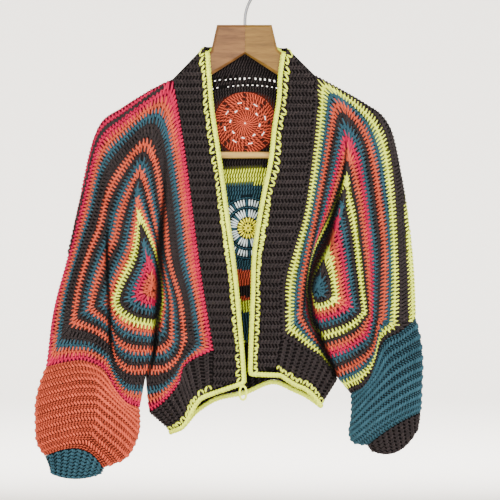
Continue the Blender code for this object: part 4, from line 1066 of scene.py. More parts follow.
def lean_of(half):
    """Lean of the strands, which fan out along the grid where two sides of the motif meet."""
    knots = [knot for first, last in zip(SIDE_ENDS[:-1], SIDE_ENDS[1:])
             for knot in (first + LEAN_CHANGE, last - LEAN_CHANGE)]
    leans = np.repeat(list(LEANS[half.side].values()), 2)

    def lean(columns):
        gap = np.abs(columns[..., None] - SIDE_ENDS[1:-1]).min(axis=-1)
        return np.interp(columns, knots, leans), np.clip(gap / LEAN_FADE, 0, 1)
    return lean


def round_colour(half, number):
    """Yarn of a round; past the last one it counts back down the other layer's rounds."""
    return YARN[ROUNDS[half.side][number if number < ROUND_COUNT else 2 * ROUND_COUNT - 1 - number]]


def motif_tints(half, front):
    """Colours of the ground, by round: motif_rows worked backwards."""
    table = np.array([round_colour(half, number) for number in range(ROUND_COUNT + 3)])

    def tints(points):
        rays = np.concatenate([[0], RAY_PLACES])
        rows = np.unique(np.append(np.arange(0, len(rays), 2), len(rays) - 1))
        last = SIDE_ENDS[-1]
        columns = np.unique(np.append(np.arange(0, last + 1, 2), last))
        inner = half.rounds[2]
        roll = roll_of(half, columns) * (1 if front else -1) / (1 - inner)
        ray = rays[rows][:, None]
        number = np.where(ray <= inner, ray * ROUND_COUNT, ray * (ROUND_COUNT + roll) - roll * inner)
        return table[np.clip(number.astype(int), 0, ROUND_COUNT + 2)]
    return tints


def stitch_motif(half, front, seed):
    """All rounds of one layer."""
    cloth = MOTIF_CLOTH[half.side, front]
    row_place = motif_rows(half, front)
    worked = Worked(seed)

    def on_layer(rows, columns, made):
        return rows[:, 2] < cloth.rows - 1.2
    for number in range(ROUND_COUNT + 2):
        worked.row(cloth, row_place, number, GRANNY, round_colour(half, number), ROUND_PITCH,
                   lean=lean_of(half), keep=on_layer)
    spokes = np.linspace(1, cloth.columns - 2, SPOKES)[:, None] + spread(0, 0)
    out = np.broadcast_to(spread(0.1, 1.6), spokes.shape)
    worked.add(strand(cloth, out, spokes, *SPOKE_STRAND), round_colour(half, 0))
    if half is LEFT:
        seam_strands(worked, cloth, row_place)
    finish_cloth("granny_%s_%s" % ("front" if front else "back", half.side), cloth, "granny_crochet",
                 worked, motif_tints(half, front), ["hanger_arm_" + half.side], pole=True)


def seam_strands(worked, cloth, row_place):
    """The zigzag of charcoal yarn that joins the two layers near the left shoulder."""
    first, last = side_columns("shoulder")
    steps = np.linspace(first + 3, first + SEAM_REACH * (last - first), SEAM_COUNT)
    for start, end in ((-SEAM_RISE, SEAM_RISE), (SEAM_RISE, -SEAM_RISE)):
        shift = 0 if start < 0 else (steps[1] - steps[0]) / 2
        columns = steps[:, None] + shift + spread(0, 0.5) * (steps[1] - steps[0])
        rise = ROUND_COUNT + spread(start, end)
        rows = row_place(np.broadcast_to(rise, columns.shape), columns)
        fits = rows.max(axis=1) < cloth.rows - 1.05
        if fits.any():
            made = strand(cloth, rows, columns, *SEAM_STRAND)
            worked.add(made[fits], YARN["charcoal"])


for number, half in enumerate(HALVES):
    for front in (True, False):
        stitch_motif(half, front, 10 * number + front)

# %% [markdown]
# ## Bands, hems and cuffs
# The charcoal bands are worked in ridges: every other row stands up.  On the
# fronts the ridges lie level, and on the hem and the cuffs they run upright.
# A ridge has two lines of strands that lie nearly along it, painted a little lighter, and
# in the furrow between two ridges the strands lie lower, lean the other way and are painted darker, as
# painted shade.

# %% Stitch the bands
BAND_ROW, BAND_PITCH = 5.8, 5.2
RIB_ROW, RIB_PITCH = 5.25, 5.4


def stitch_ridges(name, cloth, yarn, row_height, pitch, seed, rests_on, level=False):
    """Ridged rows, odd ones raised and even ones sunk; level rows end where the cloth does."""
    worked = Worked(seed)
    count = 2 * int(round(length_down(cloth) / row_height / 2))
    row_place = even_rows(cloth, count)
    if level:
        row_place, count = level_rows(cloth, row_height)

    def on_cloth(rows, columns, made):
        return (rows.min(axis=1) > 0.3) & (rows.max(axis=1) < cloth.rows - 1.1)
    for row in range(count):
        worked.row(cloth, row_place, row, RIDGE if row % 2 else FURROW, YARN[yarn], pitch,
                   keep=on_cloth if level else None)
    finish_cloth(name, cloth, yarn + "_crochet", worked, YARN[yarn], rests_on)


for number, half in enumerate(HALVES):
    stitch_ridges("front_band_" + half.side, BAND_CLOTH[half.side], "charcoal", BAND_ROW, BAND_PITCH,
                  30 + number, ["granny_front_" + half.side + "_ground"], level=True)
# the two motif layers that each hem band hangs from
HEM_PANELS = {"left": ("front_left", "back_left"), "right": ("front_right", "back_right"),
              "back": ("back_left", "back_right")}
for number, name in enumerate(HEM_EDGES):
    stitch_ridges("hem_band_" + name, HEM_CLOTH[name], "charcoal", RIB_ROW, RIB_PITCH,
                  40 + number, ["granny_" + panel + "_ground" for panel in HEM_PANELS[name]])
for number, (half, yarn) in enumerate(zip(HALVES, ("teal", "charcoal"))):
    stitch_ridges("cuff_" + half.side, CUFF_CLOTH[half.side], yarn, RIB_ROW, RIB_PITCH,
                  50 + number, ["hanger_arm_" + half.side])

# %% [markdown]
# ## Puffed lower sleeves
# The sleeves are plain rounds in one yarn.  A gather line runs down the left one,
# where the rounds rise to a ridge and drop away, so there the rows are shifted
# along the cloth before the stitches are set out.

# %% Stitch the lower sleeves
SLEEVE_ROW, SLEEVE_PITCH = 5.6, 5.0
# raised rounds are painted a little lighter and sunk ones darker: painted light and shade
SLEEVE_UP = ((-0.05, -0.55, 1.0, 0.55, 1.5, 1.7, 0.9, FULL, 1.08),)
SLEEVE_DOWN = ((0.10, 0.45, 0.50, -0.45, 1.35, 1.4, 0.0, FULL, 0.86),
               (0.60, 0.45, 0.95, -0.45, 1.35, 1.4, 0.0, FULL, 0.80))
# place round the sleeve and millimetres that the rounds are lifted there by the gather
GATHER = ((0.0, 0), (0.12, 2), (0.22, 7), (0.27, 10), (0.31, 4), (0.38, 0), (1.0, 0))


def stitch_sleeve(half, yarn, seed):
    """Rounds down the sleeve, every other one raised and painted lighter, the others painted darker; the
    left one's rise to its gather.
    """
    cloth = SLEEVE_CLOTH[half.side]
    worked = Worked(seed)
    count = int(round(length_down(cloth) / SLEEVE_ROW))
    places, lifts = np.array(GATHER).T

    def row_place(number, columns):
        share = np.asarray(number) / count
        lifted = np.interp(columns / cloth.columns % 1, places, lifts) if half is LEFT else 0
        rise = lifted / SLEEVE_ROW / count * np.clip(4 * share, 0, 1) * np.clip(8 * (1 - share), 0, 1)
        return (share - rise) * (cloth.rows - 1)
    for row in range(count):
        worked.row(cloth, row_place, row, SLEEVE_UP if row % 2 else SLEEVE_DOWN, YARN[yarn], SLEEVE_PITCH)
    finish_cloth("lower_sleeve_" + half.side, cloth, yarn + "_crochet", worked, YARN[yarn],
                 ["granny_front_" + half.side + "_ground"])


for number, (half, yarn) in enumerate(zip(HALVES, ("coral", "teal"))):
    stitch_sleeve(half, yarn, 60 + number)

# %% [markdown]
# ## The back: neck piece and panels
# Plain rows cover the neck piece and the panels.  Colour changes follow the
# height of the row, which arches a little.  Two motifs sit in the panels: a round
# openwork motif in coral, and a flower.  Both are worked in rounds, so their cloth
# grids are polar: rows are radii and columns are directions.

# %% Plain rows of the back
PLAIN_ROW, PLAIN_PITCH = 4.4, 4.2
PLAIN = ((-0.2, -0.25, 1.05, 0.25, 1.4, 1.4, 0.1, FULL, 1.0),)
ROUND_CENTRE, ROUND_REACH = np.array([0.0, -229.5]), 47.0
FLOWER_CENTRE, FLOWER_REACH = np.array([4.6, -390.6]), 47.5
STRIPE_ARCH, ARCHED_ABOVE = 5.0, -440
POLAR_ROWS, DIRECTIONS, PAST_LAST = 60, 96, 8
# height of the lower edge of each stripe, and its yarn, from the top down
STRIPES = ((-302, "charcoal"), (-327, "lemon"), (-455, "teal"), (-479, "coral"), (-496, "charcoal"),
           (-501, "coral"), (-519, "lemon"), (-565, "teal"), (-583, "lemon"), (-700, "charcoal"))


def stripe_colour(points):
    """Yarn at each strand's height, after the rows' arch is taken off."""
    arch = STRIPE_ARCH * (1 - (points[..., 0] / 60) ** 2)
    height = points[..., 2] - np.where(points[..., 2] > ARCHED_ABOVE, arch, 0)
    colours = np.array([YARN[yarn] for _, yarn in STRIPES])
    number = (height[..., None] < np.array([edge for edge, _ in STRIPES])).sum(-1)
    return colours[np.clip(number, 0, len(colours) - 1)]


def outside(centre, reach):
    """Keeps the strands whose middle lies further than reach from a centre."""
    def keep(rows, columns, made):
        return np.linalg.norm(made.mean(axis=1)[:, ::2] - centre, axis=1) > reach
    return keep


def stitch_plain(worked, cloth, colour, keep=None):
    """Plain rows that lean one way and then the other."""
    count = int(round(length_down(cloth) / PLAIN_ROW))
    shade = (lambda made: colour(made.mean(axis=1))) if callable(colour) else colour
    for row in range(count):
        worked.row(cloth, even_rows(cloth, count), row, PLAIN, shade, PLAIN_PITCH, keep=keep)


def polar_cloth(centre, radii, margin=0.0, start=0.0):
    """Cloth of the back in polar form, and its row places.

    Rows are radii and columns are directions.  A round number becomes a radius, which
    grows by PAST_LAST for each round past the last, and the radius becomes a row.
    """
    fine = np.linspace(radii[0], radii[-1] + margin, POLAR_ROWS)
    turn = start + np.arange(DIRECTIONS) * 2 * np.pi / DIRECTIONS
    ring = np.stack([np.cos(turn), np.sin(turn)], -1)

    def row_place(number, columns):
        radius = np.interp(number, np.arange(len(radii)), radii)
        over = np.maximum(np.asarray(number) - len(radii) + 1, 0) * PAST_LAST
        return np.interp(radius + over, fine, np.arange(len(fine))) + 0 * columns
    return Cloth(back_sheet(centre + fine[:, None, None] * ring[None]), BACKWARDS, closed=True), row_place


# %% [markdown]
# The openwork motif has two rings of holes.  Its ground leaves the same holes open
# as its solid does, and its posts stand only between them.

# %% The round motif
LACE_SECTORS = 32
# radius where each round ends, its posts, and the first sector of every fourth that is a hole
LACE_ROUNDS = ((6.0, 10, None), (12.0, 18, None), (20.5, 28, None), (25.0, 32, 1), (30.0, 32, None),
               (34.0, 32, 3), (40.0, 48, None), (47.0, 64, None))
LACE_EYE, LACE_MARGIN = 1.0, 2
LACE_POST = ((-0.2, -0.5, 1.1, 0.5, 1.5, 1.4, 0.3, FULL, 0.96),
             (-0.1, 0.5, 1.2, -0.5, 1.3, 1.3, 0.7, FULL, 1.04))
LACE_CHAIN = ((0.92, -0.62, 1.08, 0.62, 1.5, 1.5, 0.7, FULL, 1.1),)
# posts painted near black for the motif's dark slots: painted shade
DARK_POSTS = 8


def lace_start():
    """Direction of the first sector's edge: towards the lower right corner of the panel."""
    corner = RIGHT.border("front", ROUND_PLACES[:1], False)[0, ::2] - ROUND_CENTRE
    return np.arctan2(corner[1], corner[0])


def stitch_round_motif(worked):
    """Posts and chains of the openwork motif."""
    radii = [LACE_EYE] + [row[0] for row in LACE_ROUNDS]
    cloth, row_place = polar_cloth(ROUND_CENTRE, radii, LACE_MARGIN, lace_start())
    for number, (_, posts, hole) in enumerate(LACE_ROUNDS):
        def solid(rows, columns, made, hole=hole):
            sector = np.floor(columns[:, 2] % DIRECTIONS * LACE_SECTORS / DIRECTIONS).astype(int)
            return np.ones(len(rows), bool) if hole is None else sector % 4 != hole

        def coloured(made, number=number, posts=posts):
            shades = np.repeat(YARN["coral"][None], len(made), axis=0)
            if number > len(LACE_ROUNDS) - 3:
                # eight posts in each of the outer two rounds are painted a third of the charcoal yarn,
                # darker than any yarn: painted shade for the dark slots
                shades[posts // 16::posts // DARK_POSTS] = YARN["charcoal"] / 3
            return shades
        worked.row(cloth, row_place, number, LACE_POST, coloured, count=posts, keep=solid)
        worked.row(cloth, row_place, number, LACE_CHAIN, YARN["coral"], count=posts)


def lace_ground():
    """The panel's ground: polar inside the motif, then spread out to the panel's border."""
    side = DIRECTIONS // 4
    steps = np.linspace(*ROUND_PLACES, side + 1)
    left, right = (half.border("front", steps, False)[:, ::2] for half in HALVES)
    share = np.linspace(0, 1, side + 1)[:, None]
    top, base = yoke_line(side + 1), left[0] * (1 - share) + right[0] * share
    border = np.vstack([right[:-1], top[::-1][:-1], left[::-1][:-1], base[:-1]])
    turn = lace_start() + np.arange(DIRECTIONS) * 2 * np.pi / DIRECTIONS
    radii = [LACE_EYE] + [row[0] for row in LACE_ROUNDS]
    rings = [ROUND_CENTRE + r * np.column_stack([np.cos(turn), np.sin(turn)]) for r in radii]
    outer = [rings[-1] * (1 - s) + border * s for s in (0.25, 0.5, 0.75, 1.0)]
    return Cloth(back_sheet(np.stack(rings + outer)), BACKWARDS, closed=True)


def in_lace_hole(middles):
    """Faces of the ground that lie in one of the motif's holes."""
    offset = middles[:, ::2] - ROUND_CENTRE
    radius = np.linalg.norm(offset, axis=1)
    turn = (np.arctan2(offset[:, 1], offset[:, 0]) - lace_start()) % (2 * np.pi)
    sector = np.floor(turn / (2 * np.pi) * LACE_SECTORS).astype(int)
    cut = np.zeros(len(middles), bool)
    inner = LACE_EYE
    for reach, _, hole in LACE_ROUNDS:
        if hole is not None:
            cut |= (radius > inner) & (radius < reach) & (sector % 4 == hole)
        inner = reach
    return cut


def lace_tints(points):
    """Coral inside the motif, charcoal round it."""
    radius = np.linalg.norm(points[..., ::2] - ROUND_CENTRE, axis=-1, keepdims=True)
    return np.where(radius < ROUND_REACH + 1, YARN["coral"], YARN["charcoal"])


worked = Worked(70)
stitch_plain(worked, ROUND_CLOTH, YARN["charcoal"], outside(ROUND_CENTRE, ROUND_REACH + 2))
stitch_round_motif(worked)
finish_cloth("back_round_panel", lace_ground(), "coral_crochet", worked, lace_tints,
             ["neck_piece_ground"], every=(1, 1), dropped=in_lace_hole)

# %% [markdown]
# The neck piece has two rows of small eyelets.  They are left out of its ground,
# and no strand lies over them.

# %% The neck piece
EYELET_ROWS, EYELET_ARCH = (-161.0, -172.0), 6
EYELET_PITCH, EYELET_COUNT, EYELET_RADIUS = 7.6, 15, 1.3


def eyelet_middles():
    """x and z of the eyelets: even steps across, on a line that arches like the seam."""
    across = (np.arange(EYELET_COUNT) - (EYELET_COUNT - 1) / 2) * EYELET_PITCH
    rows = [np.column_stack([across + shift, height - EYELET_ARCH * (across / 60) ** 2])
            for height, shift in zip(EYELET_ROWS, (0, EYELET_PITCH / 2))]
    return np.vstack(rows)


def near_eyelet(spots, reach):
    """Which x, z spots lie within reach of an eyelet."""
    gaps = np.linalg.norm(spots[..., None, :] - eyelet_middles(), axis=-1)
    return gaps.min(axis=-1) < reach


worked = Worked(80)
stitch_plain(worked, NECK_CLOTH, YARN["charcoal"],
             lambda rows, columns, made: ~near_eyelet(made[..., ::2], EYELET_RADIUS).any(axis=1))
finish_cloth("neck_piece", NECK_CLOTH, "charcoal_crochet", worked, YARN["charcoal"],
             ["hanger_arm_left", "hanger_arm_right"], every=(1, 1),
             dropped=lambda middles: near_eyelet(middles[:, ::2], EYELET_RADIUS))

# %% [markdown]
# The flower is an ordinary one: a yellow eye, eight white petals, a teal ring,
# and a ring of white blocks between teal spokes.

# %% The flower panel
FLOWER_RADII = (1.0, 8.5, 17.0, 30.0, 34.0, 45.0, 48.0, 56.0)
PETALS, BLOCKS, POSTS_IN_PETAL = 8, 12, 5
FLOWER_POST = ((-0.12, 0, 1.08, 0, 2.2, 1.8, 0.4, FULL, 1.0),)
FLOWER_CHAIN = ((0.3, -0.62, 0.7, 0.62, 1.9, 1.7, 0.6, FULL, 1.0),)


def petal_colours(made):
    """White posts, with a teal one at the start of each petal or block."""
    first = np.arange(len(made)) % POSTS_IN_PETAL == 0
    return np.where(first[:, None], YARN["teal"], YARN["white"])


# recipe, colour and number of stitches of each round, from the eye outwards
FLOWER_ROUNDS = (
    (FLOWER_POST, YARN["yellow"], 10),
    (FLOWER_POST, YARN["yellow"], 20),
    (FLOWER_POST, petal_colours, POSTS_IN_PETAL * PETALS),
    (FLOWER_CHAIN, YARN["teal"], 36),
    (FLOWER_POST, petal_colours, POSTS_IN_PETAL * BLOCKS),
    (FLOWER_CHAIN, YARN["teal"], 60),
)


worked = Worked(90)
stitch_plain(worked, FLOWER_CLOTH, stripe_colour, outside(FLOWER_CENTRE, FLOWER_REACH + 1.5))
flower_cloth, flower_rows = polar_cloth(FLOWER_CENTRE, FLOWER_RADII)
for number, (recipe, colour, count) in enumerate(FLOWER_ROUNDS):
    worked.row(flower_cloth, flower_rows, number, recipe, colour, count=count)
finish_cloth("back_flower_panel", FLOWER_CLOTH, "teal_crochet", worked, stripe_colour,
             ["back_round_panel_ground"], every=(1, 1))
worked = Worked(91)
stitch_plain(worked, LOWER_CLOTH, stripe_colour)
finish_cloth("back_lower_panel", LOWER_CLOTH, "teal_crochet", worked, stripe_colour,
             ["back_flower_panel_ground"], every=(1, 1))

# %% [markdown]
# ## The corded edging
# A thick lemon cord is worked all round the neck, fronts and hem.  It is a tube
# with three soft plies: its radius swells and sinks as the plies wind round.
# Loops of the same yarn reach from it over the bands, like blanket stitch.

# %% Path of the edging
ROPE_STEP, ROPE_SIDES = 2.0, 12
PLY_DEPTH, PLY_LENGTH = 0.13, 26.0
TIP_DIP, TIP_WIDTH = 16, 7             # how far the cord dips at both ends of the neck, over how many steps


def edging_path():
    """The cord's path, once round: neck, right front, hem, back hem and left front."""
    down = np.linspace(0.02, 1, 240)
    fronts = {}
    for half in HALVES:
        line = along(ROPE_LINES[half.side], down)
        deep = np.interp(line[:, 1], BAND_CLOTH[half.side].points[::-1, -1, 2],
                         BAND_CLOTH[half.side].points[::-1, -1, 1])
        fronts[half.side] = np.column_stack([line[:, 0], deep, line[:, 1]])
    neck = NECK_CLOTH.points[-1, NECK_SIDE:-NECK_SIDE] + (0, 0, ROPE_REACH)
    from_tip = np.minimum(np.arange(len(neck)), np.arange(len(neck))[::-1])
    neck[:, 2] -= TIP_DIP * np.exp(-(from_tip / TIP_WIDTH) ** 2)
    hems = {name: HEM_CLOTH[name].points[:, -1] + (0, 0, -ROPE_REACH) for name in HEM_CLOTH}
    feet = {half.side: hems[half.side][6:] for half in HALVES}
    path = np.vstack([neck, fronts["right"], feet["right"], hems["back"][::-1],
                      feet["left"][::-1], fronts["left"][::-1], neck[:1]])
    total = np.linalg.norm(np.diff(path, axis=0), axis=1).sum()
    steps = np.linspace(0, 1, int(total / ROPE_STEP), endpoint=False)
    even = np.column_stack([np.interp(steps, share_of_length(path), column) for column in path.T])
    for _ in range(4):
        even = (np.roll(even, 1, axis=0) + 2 * even + np.roll(even, -1, axis=0)) / 4
    return even


def tube(path, radius, sides, closed=False, plies=0):
    """Rings round a path: radius × (1 + depth·cos(plies·(turn − twist·length)))."""
    if closed:
        run = unit(np.roll(path, -1, axis=0) - np.roll(path, 1, axis=0))
    else:
        run = unit(np.gradient(path, axis=0))
    side = unit(np.cross(run, FORWARDS))
    other = np.cross(run, side)
    turn = np.arange(sides)[None] * 2 * np.pi / sides
    step = np.concatenate([[0], np.cumsum(np.linalg.norm(np.diff(path, axis=0), axis=1))])
    twist = step / PLY_LENGTH
    if closed:
        twist *= np.round(twist[-1]) / twist[-1]
    swell = 1 + (PLY_DEPTH * np.cos(plies * turn - 2 * np.pi * plies * twist[:, None]) if plies else 0)
    swell = np.broadcast_to(swell, (len(path), sides))[..., None]
    ring = np.cos(turn)[..., None] * side[:, None] + np.sin(turn)[..., None] * other[:, None]
    points = (path[:, None] + radius * swell * ring).reshape(-1, 3)
    count = len(path)
    faces = grid_faces(count + 1 if closed else count, sides, True) % len(points)
    faces = faces.tolist()
    if not closed:
        faces += [list(range(sides))[::-1], list(range(len(points) - sides, len(points)))]
    return points, faces


def make_outward(item):
    """Turn the faces of a closed mesh to point out of it."""
    shape = bmesh.new()
    shape.from_mesh(item.data)
    bmesh.ops.recalc_face_normals(shape, faces=shape.faces)
    shape.to_mesh(item.data)
    shape.free()


def lemon_cord(name, path, radius, sides):
    """A closed cord of three plies; the points of its rings come back with it."""
    points, faces = tube(path, radius, sides, closed=True, plies=PLIES)
    item = new_piece(name, points, faces, GROUND_MATERIAL["lemon_crochet"], YARN["lemon"])
    make_outward(item)
    return item, points


rope = edging_path()
cord, rope_points = lemon_cord("edging_cord", rope, ROPE_RADIUS, ROPE_SIDES)
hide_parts("edging")

# A small loop hangs where the left front ends: its middle, half its size, and the x and z
# of the cord's point whose depth it takes, a little further forwards.
CURL_MIDDLE, CURL_SIZE, CURL_RADIUS = (-3, -641.5), (5.2, 10.5), 1.6
CURL_START, CURL_FORWARDS = (-6.0, -630.0), 1.5
turns = np.linspace(0, 2 * np.pi, 40, endpoint=False)
curl = np.column_stack([CURL_MIDDLE[0] + CURL_SIZE[0] * np.sin(turns), 0 * turns,
                        CURL_MIDDLE[1] + CURL_SIZE[1] * np.cos(turns)])
curl[:, 1] = nearest(np.array([CURL_START]), rope[:, [0, 2, 1]])[1] - CURL_FORWARDS
lemon_cord("edging_curl", curl, CURL_RADIUS, 10)
print("edging, mm round:", round(len(rope) * ROPE_STEP))

# %% Loops over the bands
LOOP_PITCH, LOOP_REACH, LOOP_WIDTH = 9.8, 8.6, 6.6
LOOP_STRAND = (2.2, 1.5, 1.4, np.array([1.1, 1.15, 0.95]))
# unevenness of the loops: along the edge, of the tip and of the reach; and the tips' lean
LOOP_UNEVEN, LOOP_LEAN = (0.7, 1.1, 1.3), 0.6
CORD_STITCH, CORD_SPAN = 4.6, 2.6      # mm along the cord and twelfths round it
CORD_RISE, CORD_STRAND, CORD_TONE = 0.62, (0.3, 1.3, 1.1), 0.14


def loops_on(worked, cloth, count):
    """Loops from the outer edge of a band: two strands to a loop, out to its tip and back.

    A strand runs from the cord to the tip; at share s of its length it has come s of
    the way along the edge to the tip's place and the square root of s of the reach,
    and each loop is a little longer or shorter than the next.
    """
    columns = cloth.columns - 1
    step = np.linalg.norm(np.diff(cloth.points[:, -1], axis=0), axis=1).sum() / (cloth.rows - 1)
    width = np.linalg.norm(cloth.points[:, -1] - cloth.points[:, 0], axis=1).mean()
    uneven = worked.random.normal(0, 1, (3, count, 1)).clip(-1.5, 1.5)
    middle = (np.arange(count) + 0.5)[:, None] * (cloth.rows - 1) / count + uneven[0] * LOOP_UNEVEN[0] / step
    share = spread(0, 1)
    for side in (-1, 1):
        foot = side * LOOP_WIDTH / 2 * (1 - share ** 2) + (uneven[1] * LOOP_UNEVEN[1] + LOOP_LEAN) * share
        reach = np.sqrt(share) * (LOOP_REACH + LOOP_UNEVEN[2] * uneven[2])
        made = strand(cloth, middle + foot / step, columns - reach / width * columns, *LOOP_STRAND)
        worked.add(made, YARN["lemon"])


def cord_stitches(worked, rings):
    """Plaited strands on the cord: pairs that lean to both sides of its front and its back."""
    cloth = Cloth(rings, from_axis(rings), closed=True)
    count = int(cloth.rows * ROPE_STEP / CORD_STITCH)
    place = (np.arange(count)[:, None] + 0.5) * (cloth.rows - 1) / count
    rise = spread(-CORD_RISE, CORD_RISE) * CORD_STITCH / ROPE_STEP
    for front in (3, 9):
        for side in (-1, 1):
            turn = front + side * CORD_SPAN * spread(0.15, 1.0)
            turn = np.broadcast_to(turn, (count, len(SPOTS))) % ROPE_SIDES
            made = strand(cloth, place + rise, turn, *CORD_STRAND)
            worked.add(made, YARN["lemon"], 1.0 - CORD_TONE * side)


worked = Worked(95)
for cloth in (*BAND_CLOTH.values(), *HEM_CLOTH.values()):
    edge = np.linalg.norm(np.diff(cloth.points[:, -1], axis=0), axis=1).sum()
    loops_on(worked, cloth, int(round(edge / LOOP_PITCH)))
cord_stitches(worked, rope_points.reshape(-1, ROPE_SIDES, 3))
stitches("edging_loops", worked, "lemon_crochet")

# %% [markdown]
# ## The hanger
# The arms keep the mesh of the frame, whose edges are already bevelled, and get
# a wood that is warmer on the left arm and more golden on the right.  Its grain is
# noise stretched along the arm.  The bar and the hook are turned and bent round
# stock, so they are made again as smooth tubes on the same lines.

# %% Wood and metal
def wood_material(name, dark, pale, grain_turn, coat):
    """Lacquered wood: two browns mixed by noise that is long along the grain."""
    made, tree, shader = new_material(name)
    place = node(tree, "ShaderNodeTexCoord")
    lay = node(tree, "ShaderNodeMapping",
               {"Rotation": (0, np.radians(grain_turn), 0), "Scale": (6, 60, 60)})
    tree.links.new(place.outputs["Object"], lay.inputs["Vector"])
    broad = noise_node(tree, lay.outputs[0], Scale=2.2, Detail=6.0, Distortion=0.6)
    fine = noise_node(tree, lay.outputs[0], Scale=14.0, Detail=3.0)
    level = combine(tree, "ADD", combine(tree, "MULTIPLY", broad, 0.75),
                    combine(tree, "MULTIPLY", fine, 0.35))
    ramp = node(tree, "ShaderNodeValToRGB")
    for stop, place, colour in zip(ramp.color_ramp.elements, (0.38, 0.72), (dark, pale)):
        stop.position, stop.color = place, (*colour, 1)
    tree.links.new(level, ramp.inputs["Fac"])
    tree.links.new(ramp.outputs["Color"], shader.inputs["Base Color"])
    bump_node(tree, shader, fine, 0.0002, 0.5)
    set_inputs(shader, {"Roughness": 0.5, "Specular IOR Level": 0.2, "Coat Weight": coat,
                        "Coat Roughness": 0.25})
    return made


def metal_material(name):
    """Polished wire with faint drawn scratches."""
    made, tree, shader = new_material(name)
    set_inputs(shader, {"Base Color": (0.24, 0.25, 0.27, 1), "Metallic": 1.0})
    place = node(tree, "ShaderNodeTexCoord").outputs["Object"]
    scratches = noise_node(tree, place, Scale=900.0, Detail=2.0)
    tree.links.new(combine(tree, "ADD", combine(tree, "MULTIPLY", scratches, 0.12), 0.1),
                   shader.inputs["Roughness"])
    return made


left_wood = wood_material("left_arm_wood", light(86, 54, 24), light(128, 88, 44), 36, 0.12)
right_wood = wood_material("right_arm_wood", light(90, 62, 18), light(130, 96, 34), -36, 0.12)
bar_wood = wood_material("bar_wood", light(158, 122, 58), light(194, 158, 90), 0, 0.1)
chrome = metal_material("hook_chrome")
for side, wood in (("left", left_wood), ("right", right_wood)):
    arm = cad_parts["hanger_arm_" + side]
    arm.data.materials.clear()
    arm.data.materials.append(wood)
print("arm faces:", len(arm.data.polygons))

# The arms are two solids 0.3 mm apart: a dark glue line fills the joint, just inside their faces.
GLUE_SIDE, GLUE_HEIGHTS, GLUE_INSET = 0.12, (-81.0, -123.0), 0.6
glue_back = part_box("hanger_arm_left")[1][1] / MM - GLUE_INSET
corners = np.array([(x * GLUE_SIDE, y * glue_back, z) for z in GLUE_HEIGHTS
                    for x, y in ((-1, -1), (1, -1), (1, 1), (-1, 1))])
sides = [[k, (k + 1) % 4, 4 + (k + 1) % 4, 4 + k] for k in range(4)] + [[0, 1, 2, 3], [4, 5, 6, 7]]
glue_wood = wood_material("glue_line", light(70, 44, 24), light(84, 56, 32), 0, 0.0)
make_outward(new_piece("hanger_glue_line", corners, sides, glue_wood))

# %% Bar and hook
BAR_RADIUS, BAR_HEIGHT = 5.0, -279.0
HOOK_WIRE, HOOK_BEND, WOOD_TOP = 2.4, 21.0, -80.0


def hook_path():
    """The hook: a stem that leans into an arc, whose radius is the bend's."""
    turns = np.radians(np.linspace(-40, 195, 60))
    centre = HOOK_WIRE - HOOK_BEND
    bend = np.column_stack([HOOK_BEND * np.cos(turns), 0 * turns, centre + HOOK_BEND * np.sin(turns)])
    stem = along(((0, WOOD_TOP + 0.3), (0, -72), (2, -58), (8, -43), tuple(bend[0, ::2])),
                 np.linspace(0, 1, 26))[:-1]
    return np.vstack([np.column_stack([stem[:, 0], 0 * stem[:, 0], stem[:, 1]]), bend])


low, high = (np.array(corner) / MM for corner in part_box("hanger_bar"))
bar_line = np.column_stack([np.linspace(low[0], high[0], 24), np.zeros(24), np.full(24, BAR_HEIGHT)])
for name, path, radius, sides, material, slot in (
        ("hanger_bar", bar_line, BAR_RADIUS, 32, bar_wood, "bar_wood"),
        ("hanger_hook", hook_path(), HOOK_WIRE, 20, chrome, "hook_metal")):
    points, faces = tube(path, radius, sides)
    piece = new_piece(name + "_smooth", points, faces, material)
    make_outward(piece)
    piece.data.set_sharp_from_angle(angle=np.radians(50))
    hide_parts(name)
print("bar, mm long:", round(high[0] - low[0]))

# %% [markdown]
# ## Studio
# The cardigan hangs in front of a pale wall.  A wide bowl, flat in the middle and
# curved up at its rim, is floor and wall from every side.  Large soft lights give
# the gentle shading of a bright room.

# %% Backdrop, lights and camera
PIXELS, PIXEL_SIZE = 500, 1.53
CAMERA_DISTANCE, SENSOR = 2.6, 36.0
AIM = (0.00765, -0.4243)
FLOOR_HEIGHT, FLOOR_REACH, WALL_REACH, WALL_HEIGHT = -0.86, 2.4, 5.0, 4.5
BOWL_SIDES = 96


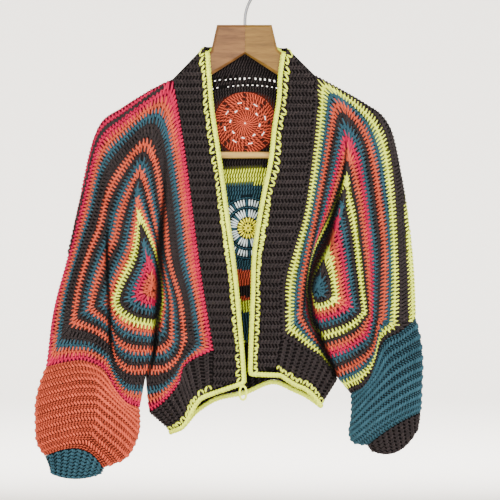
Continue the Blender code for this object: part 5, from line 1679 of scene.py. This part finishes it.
def backdrop():
    """A bowl: flat out to the floor's reach, and from there up in a quarter of an ellipse."""
    radii = np.concatenate([[0.02], np.linspace(0.5, FLOOR_REACH, 5),
                            np.linspace(FLOOR_REACH, WALL_REACH, 24)[1:]])
    rise = np.clip((radii - FLOOR_REACH) / (WALL_REACH - FLOOR_REACH), 0, 1)
    turn = np.arange(BOWL_SIDES) * 2 * np.pi / BOWL_SIDES
    height = FLOOR_HEIGHT + WALL_HEIGHT * (1 - np.sqrt(np.clip(1 - rise**2, 0, 1)))
    points = np.stack([radii[:, None] * np.cos(turn), radii[:, None] * np.sin(turn),
                       np.broadcast_to(height[:, None], (len(radii), BOWL_SIDES))], -1).reshape(-1, 3)
    mesh = bpy.data.meshes.new("backdrop")
    faces = grid_faces(len(radii), BOWL_SIDES, True).tolist() + [list(range(BOWL_SIDES))[::-1]]
    mesh.from_pydata(points.tolist(), [], faces)
    mesh.shade_smooth()
    paint, _, shader = new_material("wall_paint")
    set_inputs(shader, {"Base Color": (*light(244, 240, 234), 1), "Roughness": 0.95,
                        "Emission Color": (*light(244, 238, 230), 1), "Emission Strength": 0.5})
    mesh.materials.append(paint)
    add_object("backdrop", mesh)


def soft_light(name, place, target, size, power):
    """A square area light that looks at a point."""
    lamp = bpy.data.lights.new(name, "AREA")
    lamp.size, lamp.energy = size, power
    item = add_object(name, lamp)
    item.location = place
    direction = np.array(place, float) - target
    flat = np.hypot(direction[0], direction[1])
    item.rotation_euler = (np.arctan2(flat, direction[2]), 0, np.arctan2(direction[0], -direction[1]))


def camera():
    """A camera level with the middle of the picture, looking straight at the wall."""
    lens = bpy.data.cameras.new("camera")
    lens.sensor_width = SENSOR
    lens.lens = SENSOR * CAMERA_DISTANCE / (PIXELS * PIXEL_SIZE * MM)
    item = add_object("camera", lens)
    item.location = (AIM[0], -CAMERA_DISTANCE, AIM[1])
    item.rotation_euler = (np.pi / 2, 0, 0)
    bpy.context.scene.camera = item


backdrop()
# name, place, target, size in metres and power in watts
for lamp in (("window", (1.3, -1.9, 1.1), (0, 0, -0.4), 1.2, 54),
             ("fill", (-0.4, -2.5, -0.1), (0, 0, -0.4), 1.4, 40),
             ("wall", (0, 0.6, 0.8), (0, 5, 0), 2.5, 250)):
    soft_light(*lamp)
world = bpy.data.worlds.new("room")
world.use_nodes = True
set_inputs(world.node_tree.nodes["Background"], {"Color": (*light(240, 237, 232), 1), "Strength": 0.85})
bpy.context.scene.world = world
camera()
print("camera lens, mm:", round(bpy.context.scene.camera.data.lens, 1))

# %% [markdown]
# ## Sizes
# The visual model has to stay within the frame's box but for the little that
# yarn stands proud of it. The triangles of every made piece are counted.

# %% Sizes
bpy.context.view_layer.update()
triangles = {name: sum(len(face.vertices) - 2 for face in item.data.polygons)
             for name, item in made_pieces.items()}
print("triangles:", sum(triangles.values()), "largest:", max(triangles.values()))
